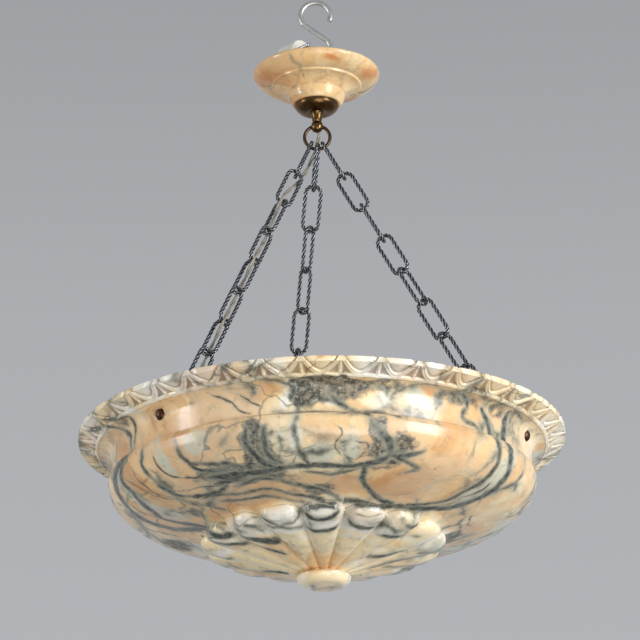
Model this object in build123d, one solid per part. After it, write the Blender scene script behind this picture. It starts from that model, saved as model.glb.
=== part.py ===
"""Alabaster bowl pendant: a carved bowl hung on three chains from a turned canopy.

The origin is the point where the suspension hook bears on whatever holds it. +Z is up,
the front faces -Y and azimuths are counted from the front towards +X. Lengths are in mm.
"""
import math
import os

from build123d import *

# ---------------------------------------------------------------- clearances
HANG_GAP = 0.3            # between wires that hang in one another
SEAT_GAP = 0.3            # between soft or curved seats
THREAD_GAP = 0.05         # radial, screwed or threaded-through fits

# ---------------------------------------------------------------- suspension hook
HOOK_WIRE = 5.5
HOOK_LOOP_R = 15.5        # centreline radius of both loops
HOOK_LOOP_SPREAD = 38.0   # between the two loop centres
HOOK_END_ANGLE = 21.0     # how far the free end drops below the loop's centre level

# ---------------------------------------------------------------- canopy hardware
BAIL_WIRE = 5.0
BAIL_R = 12.0
STRIP_THICKNESS = 3.0
STRIP_WIDTH = 14.0
STRIP_END = 5.0           # strip beyond the centre of each bail leg
TUBE_OD = 10.0
TUBE_BORE = 7.0
TUBE_STAND = 1.5          # tube end above the nut
TUBE_GRIP = 7.0           # tube screwed into the brass cup
NUT_FLATS = 14.0
NUT_HEIGHT = 5.0
ROSE_WASHER_OD = 26.0
ROSE_WASHER_THICKNESS = 2.0

# ---------------------------------------------------------------- alabaster canopy
CANOPY_DROP = 78.0        # hook bearing point to the canopy's rim plane
CANOPY_HEIGHT = 36.0
CANOPY_RIM_R = 65.0
CANOPY_RIM_EDGE = 3.0     # height of the rounded rim
CANOPY_RIM_LAND = 6.0     # width of the rim's top
CANOPY_DISH_DEPTH = 16.0
CANOPY_FLOOR_R = 34.0
CANOPY_STEP1_R = 46.0
CANOPY_STEP1_DROP = 14.0
CANOPY_STEP1_FACE = 2.5
CANOPY_STEP2_R = 29.5
CANOPY_STEP2_DROP = 23.5
CANOPY_FOOT_R = 24.5

# ---------------------------------------------------------------- brass cup and ball
CUP_R = 22.6
CUP_EDGE = 2.0
CUP_DEPTH = 9.5
CUP_THROAT_R = 8.0
NECK_R = 5.0
NECK_DROP = 17.6          # cup top to the thinnest part of the neck
BALL_R = 6.5
BALL_DROP = 24.35         # cup top to the ball's centre
BALL_HOLE_R = 3.0
FLEX_EXIT_TILT = 50.0     # degrees below level of the flex's hole in the cup
FLEX_EXIT_R = 12.0        # where that hole breaks the cup's underside

# ---------------------------------------------------------------- ring and chains
RING_R = 13.0
RING_WIRE = 3.5
LINK_WIRE = 4.2
LINK_WIDTH = 20.0
LINK_LENGTH = 51.0
LINKS_PER_CHAIN = 9
# each chain: azimuth of its bolt, its place round the ring, and the roll of its links
CHAINS = {
    "left": (-47.3, -36.0, (0, 75, 145, 45, 135, 45, 130, 60, 150)),
    "right": (72.7, 35.0, (0, 90, 0, 100, 30, 110, 40, 100, 5)),
    "back": (192.7, 0.0, (8, 95, 30, 140, 75, 160, 85, 178, 78)),
}

# ---------------------------------------------------------------- alabaster bowl
BOWL_DROP = 476.0         # hook bearing point to the bowl's rim plane
RIM_R = 240.0
RIM_INNER_R = 214.0
BAND_EDGE = 5.5           # height of the rim's plain edge above the carved face
BAND_FOOT = 1.5           # foot of the carved face, outside the cove's middle
COVE_R = 13.0             # hollow moulding under the band
COVE_DROP = 26.5          # rim plane to the cove's centre
NECK_OUTER_R = 206.5
NECK_FOOT_R = 205.0
NECK_HEIGHT = 43.0        # rim plane to the ledge above the body
BODY_TOP_R = 208.8
BODY_TOP_DROP = 44.5
BODY_MAX_R = 209.8
BODY_MAX_DROP = 52.0
BODY_HIP_R = 185.4
BODY_HIP_DROP = 80.0
BODY_FLANK_R = 133.0
BODY_FLANK_DROP = 96.5
WALL_INNER_R = 198.5
WALL_STRAIGHT = 48.0      # depth of the straight inner wall
WALL_CHAMFER = 9.0
WALL_SPOT = 0.5           # depth of the flat cut for each washer
FLOOR_R = 150.0
FLOOR_EDGE_DROP = 80.5
FLOOR_DROP = 95.0

# ---------------------------------------------------------------- rosette under the bowl
PETALS = 16
ROSETTE_R = 120.0
ROSETTE_TIP_DROP = 110.0
ROSETTE_SHOULDER_R = 106.0
ROSETTE_SHOULDER_DROP = 118.0
ROSETTE_ROOT_R = 22.0
ROSETTE_ROOT_DROP = 139.0
GROOVE_TIP_R = 8.0
GROOVE_ROOT_R = 1.8
GROOVE_START = 1.5        # how far out along the petals the grooves begin
BOSS_R = 26.9
BOSS_DROP = 141.0
BOSS_CHEEK_R = 24.5
BOSS_CHEEK_DROP = 147.0
BOSS_FACE_R = 14.0
BOSS_END_DROP = 152.0

# ---------------------------------------------------------------- bolts through the bowl
BOLT_DROP = 20.0          # rim plane to the bolts' axes
BOLT_R = 3.0
BOLT_HOLE_R = 3.5
BUTTON_R = 6.25
BUTTON_HEIGHT = 4.5
BUTTON_SEAT_R = 6.9       # spot face in the cove
BUTTON_BORE_DEPTH = 3.0
WASHER_OD = 20.0
WASHER_THICKNESS = 1.2
EYE_WIRE = 3.8
EYE_R = 4.8
EYE_BITE = 0.4            # how far the eye is sunk into its shoulder
EYE_SHOULDER_R = 5.5
EYE_SHOULDER = 1.0

# ---------------------------------------------------------------- lamp cluster in the bowl
TAB_THICKNESS = 2.0
TAB_WIDTH = 16.0
TAB_RISE = 8.0            # tab above the bolt's axis
ARM_R = 4.0
ARM_DROP = 46.0           # rim plane to the arms' axes
HUB_R = 26.0
HUB_WALL = 3.0
HUB_BELOW = 9.0
HUB_ABOVE = 10.0
HUB_COVER = 2.0
NIPPLE_R = 5.0
NIPPLE_BITE = 6.0         # nipple screwed into the lampholder
HOLDER_START = 36.0
HOLDER_R = 18.0
HOLDER_LENGTH = 42.0
SOCKET_R = 13.5
SOCKET_DEPTH = 24.0
SOCKET_PLAY = 0.3
CAP_R = 13.2
CAP_LENGTH = 23.0
BULB_R = 22.5
BULB_THROAT_R = 12.0
BULB_NECK = 9.0           # cap to the start of the round glass
BULB_SKIN = 1.0
LAMP_OFFSET = 60.0        # lampholders stand between the arms

# ---------------------------------------------------------------- flex and plug
FLEX_D = 4.2
FLEX_HOLE_GAP = 0.3
FLEX_CLEAR = 9.0          # route offset from the chain's axis beside each joint
FLEX_SWAY = 0.6           # least and
FLEX_SLOT = 1.2           # most that it strays sideways inside a link
FLEX_BACK = 15.0          # how far the flex stands behind the ring
LEAD_D = 4.2
PLUG_R = 14.5
PLUG_LENGTH = 34.0
PLUG_TAPER = 12.0
PLUG_NOSE_R = 5.0
PLUG_OUT = 36.0           # plug's middle from the canopy's axis
PLUG_AZIMUTH = -45.0
PIN_R = 2.0
PIN_LENGTH = 19.0
PIN_SPACING = 19.0
PIN_EMBED = 4.0
PIN_SHANK_R = 1.6         # embedded end of each pin
PIN_ROUND = 0.8


# ================================================================ derived places
hook_top_z = HOOK_WIRE / 2
hook_upper_z = hook_top_z - HOOK_LOOP_R
hook_mid_z = hook_upper_z - HOOK_LOOP_SPREAD / 2
hook_lower_z = hook_upper_z - HOOK_LOOP_SPREAD
hook_foot_z = hook_lower_z - HOOK_LOOP_R

bail_top_z = hook_foot_z + HOOK_WIRE / 2 + HANG_GAP + BAIL_WIRE / 2
bail_arch_z = bail_top_z - BAIL_R

canopy_z = -CANOPY_DROP
canopy_floor_z = canopy_z - CANOPY_DISH_DEPTH
canopy_foot_z = canopy_z - CANOPY_HEIGHT
strip_z = canopy_floor_z + ROSE_WASHER_THICKNESS
nut_z = strip_z + STRIP_THICKNESS
tube_top_z = nut_z + NUT_HEIGHT + TUBE_STAND
tube_foot_z = canopy_foot_z - TUBE_GRIP

cup_z = canopy_foot_z
ball_z = cup_z - BALL_DROP
ring_sag = RING_R - math.sqrt(RING_R ** 2 - BALL_R ** 2)
ring_top_z = ball_z - BALL_HOLE_R + ring_sag + RING_WIRE / 2 + HANG_GAP
ring_z = ring_top_z - RING_R

bowl_z = -BOWL_DROP
bolt_z = bowl_z - BOLT_DROP
washer_seat_r = WALL_INNER_R + WALL_SPOT
washer_r = washer_seat_r - WASHER_THICKNESS
tab_r = washer_r - TAB_THICKNESS
shoulder_r = tab_r - EYE_SHOULDER
eye_centre_r = shoulder_r + EYE_BITE - EYE_R - EYE_WIRE / 2
arm_z = bowl_z - ARM_DROP
spot_face_r = NECK_OUTER_R


# ================================================================ helpers
def out(azimuth):
    """Unit vector pointing away from the axis at an azimuth counted from the front."""
    a = math.radians(azimuth)
    return Vector(math.sin(a), -math.cos(a), 0)


def around(azimuth):
    """Unit vector along the rim, towards growing azimuth."""
    a = math.radians(azimuth)
    return Vector(math.cos(a), math.sin(a), 0)


def place(azimuth, radius, z):
    """Point at an azimuth, a distance from the axis and a height."""
    return out(azimuth) * radius + Vector(0, 0, z)


def lathe(*edges):
    """Turn a closed outline, drawn as radius and height, about the vertical axis."""
    return revolve(Plane.XZ * make_face(Curve() + list(edges)), Axis.Z)


def turned(points):
    """Turn a closed polygon of radius and height about the vertical axis."""
    return revolve(Plane.XZ * make_face(Polyline(*points, close=True)), Axis.Z)


def rod(start, end, radius):
    """Solid cylinder between two points."""
    axis = Vector(*end) - Vector(*start)
    plane = Plane(origin=start, z_dir=axis)
    return plane * Cylinder(radius, axis.length, align=(Align.CENTER, Align.CENTER, Align.MIN))


def wire_form(path, diameter):
    """Sweep a round section along a path."""
    return sweep(Plane(origin=path @ 0, z_dir=path % 0) * Circle(diameter / 2), path=path)


def corner_radii(points, share=0.45):
    """Radius of each corner's arc: a share of its shorter run over the half turn's tangent."""
    radii = []
    for before, here, after in zip(points, points[1:], points[2:]):
        run_in = here - before
        run_out = after - here
        half_turn = math.radians(run_in.get_angle(run_out)) / 2
        radii.append(share * min(run_in.length, run_out.length) / math.tan(half_turn))
    return radii


def cord(name, points, diameter):
    """Tube along straight runs joined by tangent arcs, with its radii and volume printed."""
    points = [Vector(*p) for p in points]
    radii = corner_radii(points)
    path = FilletPolyline(*points, radius=radii)
    tube = wire_form(path, diameter)
    expected = math.pi * diameter ** 2 / 4 * path.length
    print(f"{name}: length {path.length:.1f}, radii {[round(r, 1) for r in radii]}")
    print(f"{name}: volume {tube.volume:.1f}, section times length {expected:.1f}")
    return tube


# ================================================================ suspension hook
def make_hook():
    """S-hook bent from one wire in the XZ plane."""
    half = HOOK_LOOP_SPREAD / 2
    lean = math.degrees(math.asin(HOOK_LOOP_R / half))
    sweep_angle = HOOK_END_ANGLE + 180 + (180 - 90 - lean)
    upper = CenterArc((0, half), HOOK_LOOP_R, -HOOK_END_ANGLE, sweep_angle)
    lower = CenterArc((0, -half), HOOK_LOOP_R, 180 - HOOK_END_ANGLE, sweep_angle)
    shank = Line(upper @ 1, lower @ 1)
    path = Location((0, 0, hook_mid_z)) * (Plane.XZ * (Curve() + [upper, shank, lower]))
    return wire_form(path.wires()[0], HOOK_WIRE)


# ================================================================ canopy assembly
def make_bail():
    """Wire bail on a pierced strip: its arch hangs on the hook's lower loop."""
    legs_foot = strip_z + STRIP_THICKNESS
    arch = CenterArc((0, bail_arch_z), BAIL_R, 0, 180)
    right_leg = Line((BAIL_R, legs_foot - STRIP_THICKNESS / 2), (BAIL_R, bail_arch_z))
    left_leg = Line((-BAIL_R, bail_arch_z), (-BAIL_R, legs_foot - STRIP_THICKNESS / 2))
    path = Plane.YZ * (Curve() + [right_leg, arch, left_leg])
    wire = wire_form(path.wires()[0], BAIL_WIRE)
    length = 2 * (BAIL_R + STRIP_END)
    strip = Location((0, 0, strip_z)) * Box(
        STRIP_WIDTH, length, STRIP_THICKNESS, align=(Align.CENTER, Align.CENTER, Align.MIN)
    )
    hole = rod((0, 0, strip_z - 1), (0, 0, nut_z + 1), TUBE_OD / 2 + THREAD_GAP)
    return wire + strip - hole


def make_tube():
    """Hollow threaded tube that ties the bail, canopy and brass cup together."""
    tube = rod((0, 0, tube_foot_z), (0, 0, tube_top_z), TUBE_OD / 2)
    return tube - rod((0, 0, tube_foot_z), (0, 0, tube_top_z), TUBE_BORE / 2)


def make_nut():
    """Hexagon nut on top of the bail's strip."""
    hexagon = RegularPolygon(NUT_FLATS / 2, 6, major_radius=False)
    body = extrude(Location((0, 0, nut_z)) * hexagon, NUT_HEIGHT)
    return body - rod((0, 0, nut_z), (0, 0, nut_z + NUT_HEIGHT), TUBE_OD / 2 + THREAD_GAP)


def make_rose_washer():
    """Broad washer between the strip and the alabaster."""
    top = (0, 0, strip_z)
    disc = rod((0, 0, canopy_floor_z), top, ROSE_WASHER_OD / 2)
    return disc - rod((0, 0, canopy_floor_z), top, TUBE_OD / 2 + THREAD_GAP)


def make_canopy():
    """Turned alabaster canopy: a dished top over two steps and a rounded foot."""
    rim = CANOPY_RIM_R
    edge_z = canopy_z - CANOPY_RIM_EDGE
    step1_z = canopy_z - CANOPY_STEP1_DROP
    step1_foot = step1_z - CANOPY_STEP1_FACE
    step2_z = canopy_z - CANOPY_STEP2_DROP
    bore = TUBE_OD / 2 + SEAT_GAP
    mouth_r = rim - CANOPY_RIM_LAND
    brim = rim - CANOPY_RIM_EDGE / 2
    dish = ThreePointArc(
        (rim, edge_z),
        ((rim + CANOPY_STEP1_R) / 2 + 2.6, (edge_z + step1_z) / 2 - 2.2),
        (CANOPY_STEP1_R, step1_z),
    )
    cove = ThreePointArc(
        (CANOPY_STEP1_R - 1, step1_foot),
        ((CANOPY_STEP1_R + CANOPY_STEP2_R) / 2 - 2, (step1_foot + step2_z) / 2 + 0.9),
        (CANOPY_STEP2_R, step2_z),
    )
    foot = ThreePointArc(
        (CANOPY_STEP2_R, step2_z),
        (CANOPY_STEP2_R - 0.6, (2 * step2_z + canopy_foot_z) / 3),
        (CANOPY_FOOT_R, canopy_foot_z),
    )
    body = lathe(
        Line((bore, canopy_floor_z), (CANOPY_FLOOR_R, canopy_floor_z)),
        Line((CANOPY_FLOOR_R, canopy_floor_z), (mouth_r, canopy_z)),
        Line((mouth_r, canopy_z), (brim, canopy_z)),
        Line((brim, canopy_z), (rim, edge_z)),
        dish,
        Line((CANOPY_STEP1_R, step1_z), (CANOPY_STEP1_R - 1, step1_foot)),
        cove,
        foot,
        Line((CANOPY_FOOT_R, canopy_foot_z), (bore, canopy_foot_z)),
        Line((bore, canopy_foot_z), (bore, canopy_floor_z)),
    )
    return body


def flex_exit():
    """Point and direction of the flex's hole in the underside of the cup."""
    tilt = math.radians(FLEX_EXIT_TILT)
    direction = Vector(0, math.cos(tilt), -math.sin(tilt))
    depth = CUP_EDGE + (CUP_DEPTH - CUP_EDGE) * math.sqrt(
        1 - ((FLEX_EXIT_R - CUP_THROAT_R) / (CUP_R - CUP_THROAT_R)) ** 2
    )
    return Vector(0, FLEX_EXIT_R, cup_z - depth), direction


def make_cup():
    """Brass cup with a flared neck, ending in a cross-drilled ball."""
    edge_z = cup_z - CUP_EDGE
    throat_z = cup_z - CUP_DEPTH
    neck_z = cup_z - NECK_DROP
    turn = math.radians(52)
    ball_join = (BALL_R * math.cos(turn), ball_z + BALL_R * math.sin(turn))
    diagonal = math.sqrt(0.5)
    bowl_mid = (
        CUP_THROAT_R + (CUP_R - CUP_THROAT_R) * diagonal,
        edge_z - (edge_z - throat_z) * diagonal,
    )
    profile = lathe(
        Line((0, cup_z), (CUP_R, cup_z)),
        Line((CUP_R, cup_z), (CUP_R, edge_z)),
        ThreePointArc((CUP_R, edge_z), bowl_mid, (CUP_THROAT_R, throat_z)),
        ThreePointArc((CUP_THROAT_R, throat_z), (NECK_R + 0.4, neck_z + 3), (NECK_R, neck_z)),
        Line((NECK_R, neck_z), ball_join),
        ThreePointArc(ball_join, (BALL_R, ball_z), (0, ball_z - BALL_R)),
        Line((0, ball_z - BALL_R), (0, cup_z)),
    )
    thread = rod((0, 0, tube_foot_z), (0, 0, cup_z + 1), TUBE_OD / 2 + THREAD_GAP)
    cross = rod((-CUP_R, 0, ball_z), (CUP_R, 0, ball_z), BALL_HOLE_R)
    mouth, direction = flex_exit()
    inner_end = mouth - direction * (FLEX_EXIT_R / direction.Y)
    flex_hole = rod(inner_end, mouth + direction * 6, FLEX_D / 2 + FLEX_HOLE_GAP)
    return profile - thread - cross - flex_hole


# ================================================================ ring and chains
def make_ring():
    """Round ring through the ball's cross hole, in the XZ plane."""
    return Plane(origin=(0, 0, ring_z), z_dir=(0, 1, 0)) * Torus(RING_R, RING_WIRE / 2)


def make_link():
    """One long chain link, standing along Z and wide along X, centred on the origin."""
    radius = (LINK_WIDTH - LINK_WIRE) / 2
    half = (LINK_LENGTH - LINK_WIDTH) / 2
    path = Curve() + [
        Line((radius, -half), (radius, half)),
        CenterArc((0, half), radius, 0, 180),
        Line((-radius, half), (-radius, -half)),
        CenterArc((0, -half), radius, 180, 180),
    ]
    return wire_form((Plane.XZ * path).wires()[0], LINK_WIRE)


def eye_point(azimuth, pull):
    """Centre of the eye's wire where the chain pulls on it."""
    return place(azimuth, eye_centre_r, bolt_z) - pull * EYE_R


def chain_frame(name):
    """Chain's start on the ring, its direction, its two side axes and its joint spacing."""
    azimuth, ring_angle, rolls = CHAINS[name]
    start = Vector(
        RING_R * math.sin(math.radians(ring_angle)),
        0,
        ring_z - RING_R * math.cos(math.radians(ring_angle)),
    )
    pull = (place(azimuth, eye_centre_r, bolt_z) - start).normalized()
    end = eye_point(azimuth, pull)
    view = Vector(0, math.cos(math.radians(21)), math.sin(math.radians(21)))
    deep = (view - pull * view.dot(pull)).normalized()
    side = pull.cross(deep)
    centre_length = LINK_LENGTH - LINK_WIRE
    first = (RING_WIRE + LINK_WIRE) / 2 + HANG_GAP
    last = (EYE_WIRE + LINK_WIRE) / 2 + HANG_GAP
    spans = (end - start).length + first + last
    step = (spans - centre_length) / (LINKS_PER_CHAIN - 1)
    return start, pull, deep, side, step, first


def link_axes(name, number):
    """Centre, width direction and face normal of one link of a chain."""
    start, pull, deep, side, step, first = chain_frame(name)
    roll = math.radians(CHAINS[name][2][number])
    width = deep * math.cos(roll) + side * math.sin(roll)
    normal = side * math.cos(roll) - deep * math.sin(roll)
    middle = start + pull * ((LINK_LENGTH - LINK_WIRE) / 2 - first + number * step)
    return middle, width, normal


def make_chain(name):
    """All links of one chain, each turned about the chain's line."""
    pull = chain_frame(name)[1]
    pattern = make_link()
    links = []
    for number in range(LINKS_PER_CHAIN):
        middle, width, normal = link_axes(name, number)
        plane = Plane(origin=middle, x_dir=width, z_dir=pull * -1)
        links.append(plane.location * pattern)
    return links


# ================================================================ bowl
def bowl_outline():
    """Turned solid of the bowl with its hollow, before the carving."""
    z = bowl_z
    cove_z = z - COVE_DROP
    cove_r = NECK_OUTER_R + COVE_R
    diagonal = COVE_R * math.sqrt(0.5)
    face_foot = (cove_r + BAND_FOOT, cove_z + math.sqrt(COVE_R ** 2 - BAND_FOOT ** 2))
    shoulder = (ROSETTE_SHOULDER_R, z - ROSETTE_SHOULDER_DROP)
    tip = (ROSETTE_R, z - ROSETTE_TIP_DROP)
    body_foot = (ROSETTE_R - 2, z - ROSETTE_TIP_DROP + 8)
    root = (ROSETTE_ROOT_R, z - ROSETTE_ROOT_DROP)
    outer = [
        Line((RIM_INNER_R, z), (RIM_R, z)),
        Line((RIM_R, z), (RIM_R, z - BAND_EDGE)),
        Line((RIM_R, z - BAND_EDGE), face_foot),
        ThreePointArc(
            face_foot, (cove_r - diagonal, cove_z + diagonal), (NECK_OUTER_R, cove_z)
        ),
        Line((NECK_OUTER_R, cove_z), (NECK_FOOT_R, z - NECK_HEIGHT)),
        Line((NECK_FOOT_R, z - NECK_HEIGHT), (BODY_TOP_R, z - BODY_TOP_DROP)),
        Spline(
            (BODY_TOP_R, z - BODY_TOP_DROP),
            (BODY_MAX_R, z - BODY_MAX_DROP),
            (BODY_HIP_R, z - BODY_HIP_DROP),
            (BODY_FLANK_R, z - BODY_FLANK_DROP),
            body_foot,
        ),
        Line(body_foot, tip),
        ThreePointArc(tip, (ROSETTE_R - 4.5, z - ROSETTE_TIP_DROP - 5.6), shoulder),
        Line(shoulder, root),
        Line(root, (BOSS_R, z - BOSS_DROP)),
        ThreePointArc(
            (BOSS_R, z - BOSS_DROP),
            (BOSS_CHEEK_R, z - BOSS_CHEEK_DROP),
            (BOSS_FACE_R, z - BOSS_END_DROP + 1),
        ),
        Line((BOSS_FACE_R, z - BOSS_END_DROP + 1), (0, z - BOSS_END_DROP)),
    ]
    chamfer_r = WALL_INNER_R
    inner = [
        Line((0, z - BOSS_END_DROP), (0, z - FLOOR_DROP)),
        ThreePointArc(
            (0, z - FLOOR_DROP),
            (FLOOR_R / 2, z - FLOOR_DROP + (FLOOR_DROP - FLOOR_EDGE_DROP) / 4),
            (FLOOR_R, z - FLOOR_EDGE_DROP),
        ),
        ThreePointArc(
            (FLOOR_R, z - FLOOR_EDGE_DROP),
            (
                FLOOR_R + (WALL_INNER_R - FLOOR_R) * 0.74,
                z - WALL_STRAIGHT - (FLOOR_EDGE_DROP - WALL_STRAIGHT) * 0.72,
            ),
            (WALL_INNER_R, z - WALL_STRAIGHT),
        ),
        Line((WALL_INNER_R, z - WALL_STRAIGHT), (chamfer_r, z - WALL_CHAMFER)),
        Line((chamfer_r, z - WALL_CHAMFER), (RIM_INNER_R, z)),
    ]
    return lathe(*outer, *inner)


def make_bowl():
    """Bowl with its rosette's grooves, bolt holes and spot faces."""
    bowl = bowl_outline()
    cutters = []
    slope_start = Vector(0, 0, bowl_z) + out(0) * ROSETTE_ROOT_R - Vector(0, 0, ROSETTE_ROOT_DROP)
    slope_end = out(0) * ROSETTE_SHOULDER_R + Vector(0, 0, bowl_z - ROSETTE_SHOULDER_DROP)
    slope = (slope_end - slope_start).normalized()
    run = (slope_end - slope_start).length * ROSETTE_R / ROSETTE_SHOULDER_R + 6
    groove = Plane(origin=slope_start + slope * GROOVE_START, z_dir=slope) * Cone(
        GROOVE_ROOT_R, GROOVE_TIP_R, run, align=(Align.CENTER, Align.CENTER, Align.MIN)
    )
    for petal in range(PETALS):
        cutters.append(groove.rotate(Axis.Z, (petal + 0.5) * 360 / PETALS))
    for azimuth, _, _ in CHAINS.values():
        cutters.append(rod(
            place(azimuth, tab_r, bolt_z), place(azimuth, RIM_R, bolt_z), BOLT_HOLE_R
        ))
        cutters.append(rod(
            place(azimuth, spot_face_r, bolt_z),
            place(azimuth, spot_face_r + COVE_R, bolt_z),
            BUTTON_SEAT_R,
        ))
        cutters.append(rod(
            place(azimuth, tab_r, bolt_z),
            place(azimuth, washer_seat_r, bolt_z),
            WASHER_OD / 2 + SEAT_GAP,
        ))
    return bowl - cutters


def make_eye_bolt(azimuth):
    """Eye bolt driven outwards through the bowl's wall."""
    ring = Plane(
        origin=place(azimuth, eye_centre_r, bolt_z), z_dir=around(azimuth)
    ) * Torus(EYE_R, EYE_WIRE / 2)
    shoulder = rod(
        place(azimuth, shoulder_r, bolt_z), place(azimuth, tab_r, bolt_z), EYE_SHOULDER_R
    )
    shank = rod(
        place(azimuth, shoulder_r, bolt_z),
        place(azimuth, spot_face_r + BUTTON_BORE_DEPTH, bolt_z),
        BOLT_R,
    )
    return ring + shoulder + shank


def make_button(azimuth):
    """Domed bronze nut on the outside of the bowl."""
    seat = place(azimuth, spot_face_r, bolt_z)
    axis = Plane(origin=seat, z_dir=out(azimuth))
    dome_r = (BUTTON_R ** 2 + BUTTON_HEIGHT ** 2) / (2 * BUTTON_HEIGHT)
    cap = axis * (
        Location((0, 0, BUTTON_HEIGHT - dome_r)) * Sphere(dome_r)
    )
    blank = rod(seat, place(azimuth, spot_face_r + BUTTON_HEIGHT, bolt_z), BUTTON_R)
    bore = rod(
        seat, place(azimuth, spot_face_r + BUTTON_BORE_DEPTH, bolt_z), BOLT_R + THREAD_GAP
    )
    return (blank & cap) - bore


def make_washer(azimuth):
    """Steel washer between the bowl's wall and the lamp cluster's tab."""
    inner = place(azimuth, washer_r, bolt_z)
    outer = place(azimuth, washer_seat_r, bolt_z)
    return rod(inner, outer, WASHER_OD / 2) - rod(inner, outer, BOLT_HOLE_R)


# ================================================================ lamp cluster
hub_top_z = arm_z + HUB_ABOVE
flex_run_z = arm_z + ARM_R + FLEX_D / 2 + SEAT_GAP
flex_pivot = Vector(0, FLEX_BACK, ring_z)
flex_fall = Vector(-0.25, -0.06, -1).normalized()


def lamp_azimuths():
    """Azimuths of the three lampholders, between the arms."""
    return [azimuth + LAMP_OFFSET for azimuth, _, _ in CHAINS.values()]


def make_spider():
    """Hub with three tubular arms, their bolt tabs and three lampholder nipples."""
    hub = rod((0, 0, arm_z - HUB_BELOW), (0, 0, hub_top_z), HUB_R)
    well = rod((0, 0, arm_z - HUB_BELOW + HUB_WALL), (0, 0, hub_top_z), HUB_R - HUB_WALL)
    spider = hub - well
    for azimuth, _, _ in CHAINS.values():
        spider += rod(
            place(azimuth, HUB_R - HUB_WALL, arm_z),
            place(azimuth, (tab_r + washer_r) / 2, arm_z),
            ARM_R,
        )
        tab_height = ARM_DROP - BOLT_DROP + TAB_RISE
        tab_middle = place(azimuth, (tab_r + washer_r) / 2, bolt_z + TAB_RISE - tab_height / 2)
        tab = Plane(origin=tab_middle, x_dir=out(azimuth), z_dir=(0, 0, 1)) * Box(
            TAB_THICKNESS, TAB_WIDTH, tab_height
        )
        hole = rod(
            place(azimuth, tab_r - 1, bolt_z), place(azimuth, washer_r + 1, bolt_z), BOLT_HOLE_R
        )
        spider = spider + tab - hole
    for azimuth in lamp_azimuths():
        spider += rod(
            place(azimuth, HUB_R - HUB_WALL, arm_z),
            place(azimuth, HOLDER_START + NIPPLE_BITE, arm_z),
            NIPPLE_R,
        )
    left = CHAINS["left"][0]
    return spider - rod(
        place(left, HUB_R - 2 * HUB_WALL, flex_run_z),
        place(left, HUB_R + 1, flex_run_z),
        FLEX_D / 2 + FLEX_HOLE_GAP,
    )


def make_hub_cover():
    """Flat lid of the hub."""
    return rod((0, 0, hub_top_z), (0, 0, hub_top_z + HUB_COVER), HUB_R)


def make_holder(azimuth):
    """Porcelain lampholder, open at its outer end."""
    end = HOLDER_START + HOLDER_LENGTH
    body = rod(place(azimuth, HOLDER_START, arm_z), place(azimuth, end, arm_z), HOLDER_R)
    socket = rod(
        place(azimuth, end - SOCKET_DEPTH, arm_z), place(azimuth, end, arm_z), SOCKET_R
    )
    thread = rod(
        place(azimuth, HOLDER_START, arm_z),
        place(azimuth, HOLDER_START + NIPPLE_BITE, arm_z),
        NIPPLE_R + THREAD_GAP,
    )
    return body - socket - thread


def make_bulb(azimuth):
    """Small round bulb: a screw cap and a thin glass globe."""
    cap_start = SOCKET_PLAY
    cap_end = cap_start + CAP_LENGTH
    neck_end = cap_end + BULB_NECK
    centre = neck_end + math.sqrt(BULB_R ** 2 - BULB_THROAT_R ** 2)
    inner_r = BULB_R - BULB_SKIN
    inner_throat = BULB_THROAT_R - BULB_SKIN
    inner_join = centre - math.sqrt(inner_r ** 2 - inner_throat ** 2)
    vent = 1.0
    shape = revolve(
        Plane.XZ * make_face(Curve() + [
            Line((vent, cap_start), (CAP_R, cap_start)),
            Line((CAP_R, cap_start), (CAP_R, cap_end)),
            Line((CAP_R, cap_end), (BULB_THROAT_R, cap_end)),
            Line((BULB_THROAT_R, cap_end), (BULB_THROAT_R, neck_end)),
            ThreePointArc((BULB_THROAT_R, neck_end), (BULB_R, centre), (0, centre + BULB_R)),
            Line((0, centre + BULB_R), (0, centre + inner_r)),
            ThreePointArc((0, centre + inner_r), (inner_r, centre), (inner_throat, inner_join)),
            Line((inner_throat, inner_join), (inner_throat, cap_start + BULB_SKIN)),
            Line((inner_throat, cap_start + BULB_SKIN), (vent, cap_start + BULB_SKIN)),
            Line((vent, cap_start + BULB_SKIN), (vent, cap_start)),
        ]),
        Axis.Z,
    )
    seat = place(azimuth, HOLDER_START + HOLDER_LENGTH - SOCKET_DEPTH, arm_z)
    return Plane(origin=seat, z_dir=out(azimuth)) * shape


# ================================================================ flex
def joint_point(name, number, before, after):
    """Point beside a chain joint, on one side of each of the two links that meet there."""
    start, pull, deep, side, step, first = chain_frame(name)
    normal_a = link_axes(name, number - 1)[2]
    normal_b = link_axes(name, number)[2]
    ax, ay = normal_a.dot(deep), normal_a.dot(side)
    bx, by = normal_b.dot(deep), normal_b.dot(side)
    lift = FLEX_CLEAR * math.sqrt(0.5)
    determinant = ax * by - ay * bx
    u = (before * by - after * ay) * lift / determinant
    v = (ax * after - bx * before) * lift / determinant
    return start + pull * (number * step) + deep * u + side * v


def chain_weave(name):
    """Points where the flex passes through each link and beside each joint of a chain."""
    inward = out(CHAINS[name][0]) * -1
    before, after = 1, -1
    points = [joint_point(name, 1, before, after)]
    for number in range(1, LINKS_PER_CHAIN - 1):
        middle, width, normal = link_axes(name, number)
        before = -after
        here = (points[-1] - middle).dot(width)
        if number + 1 == LINKS_PER_CHAIN - 1:
            after = math.copysign(1, link_axes(name, number + 1)[2].dot(inward))
        else:
            crossed = joint_point(name, number + 1, before, 1)
            after = 1 if (crossed - middle).dot(width) * here < 0 else -1
        following = joint_point(name, number + 1, before, after)
        aside = (here + (following - middle).dot(width)) / 2
        aside = math.copysign(min(max(abs(aside), FLEX_SWAY), FLEX_SLOT), aside)
        points += [middle + width * aside, following]
    return points


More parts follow.
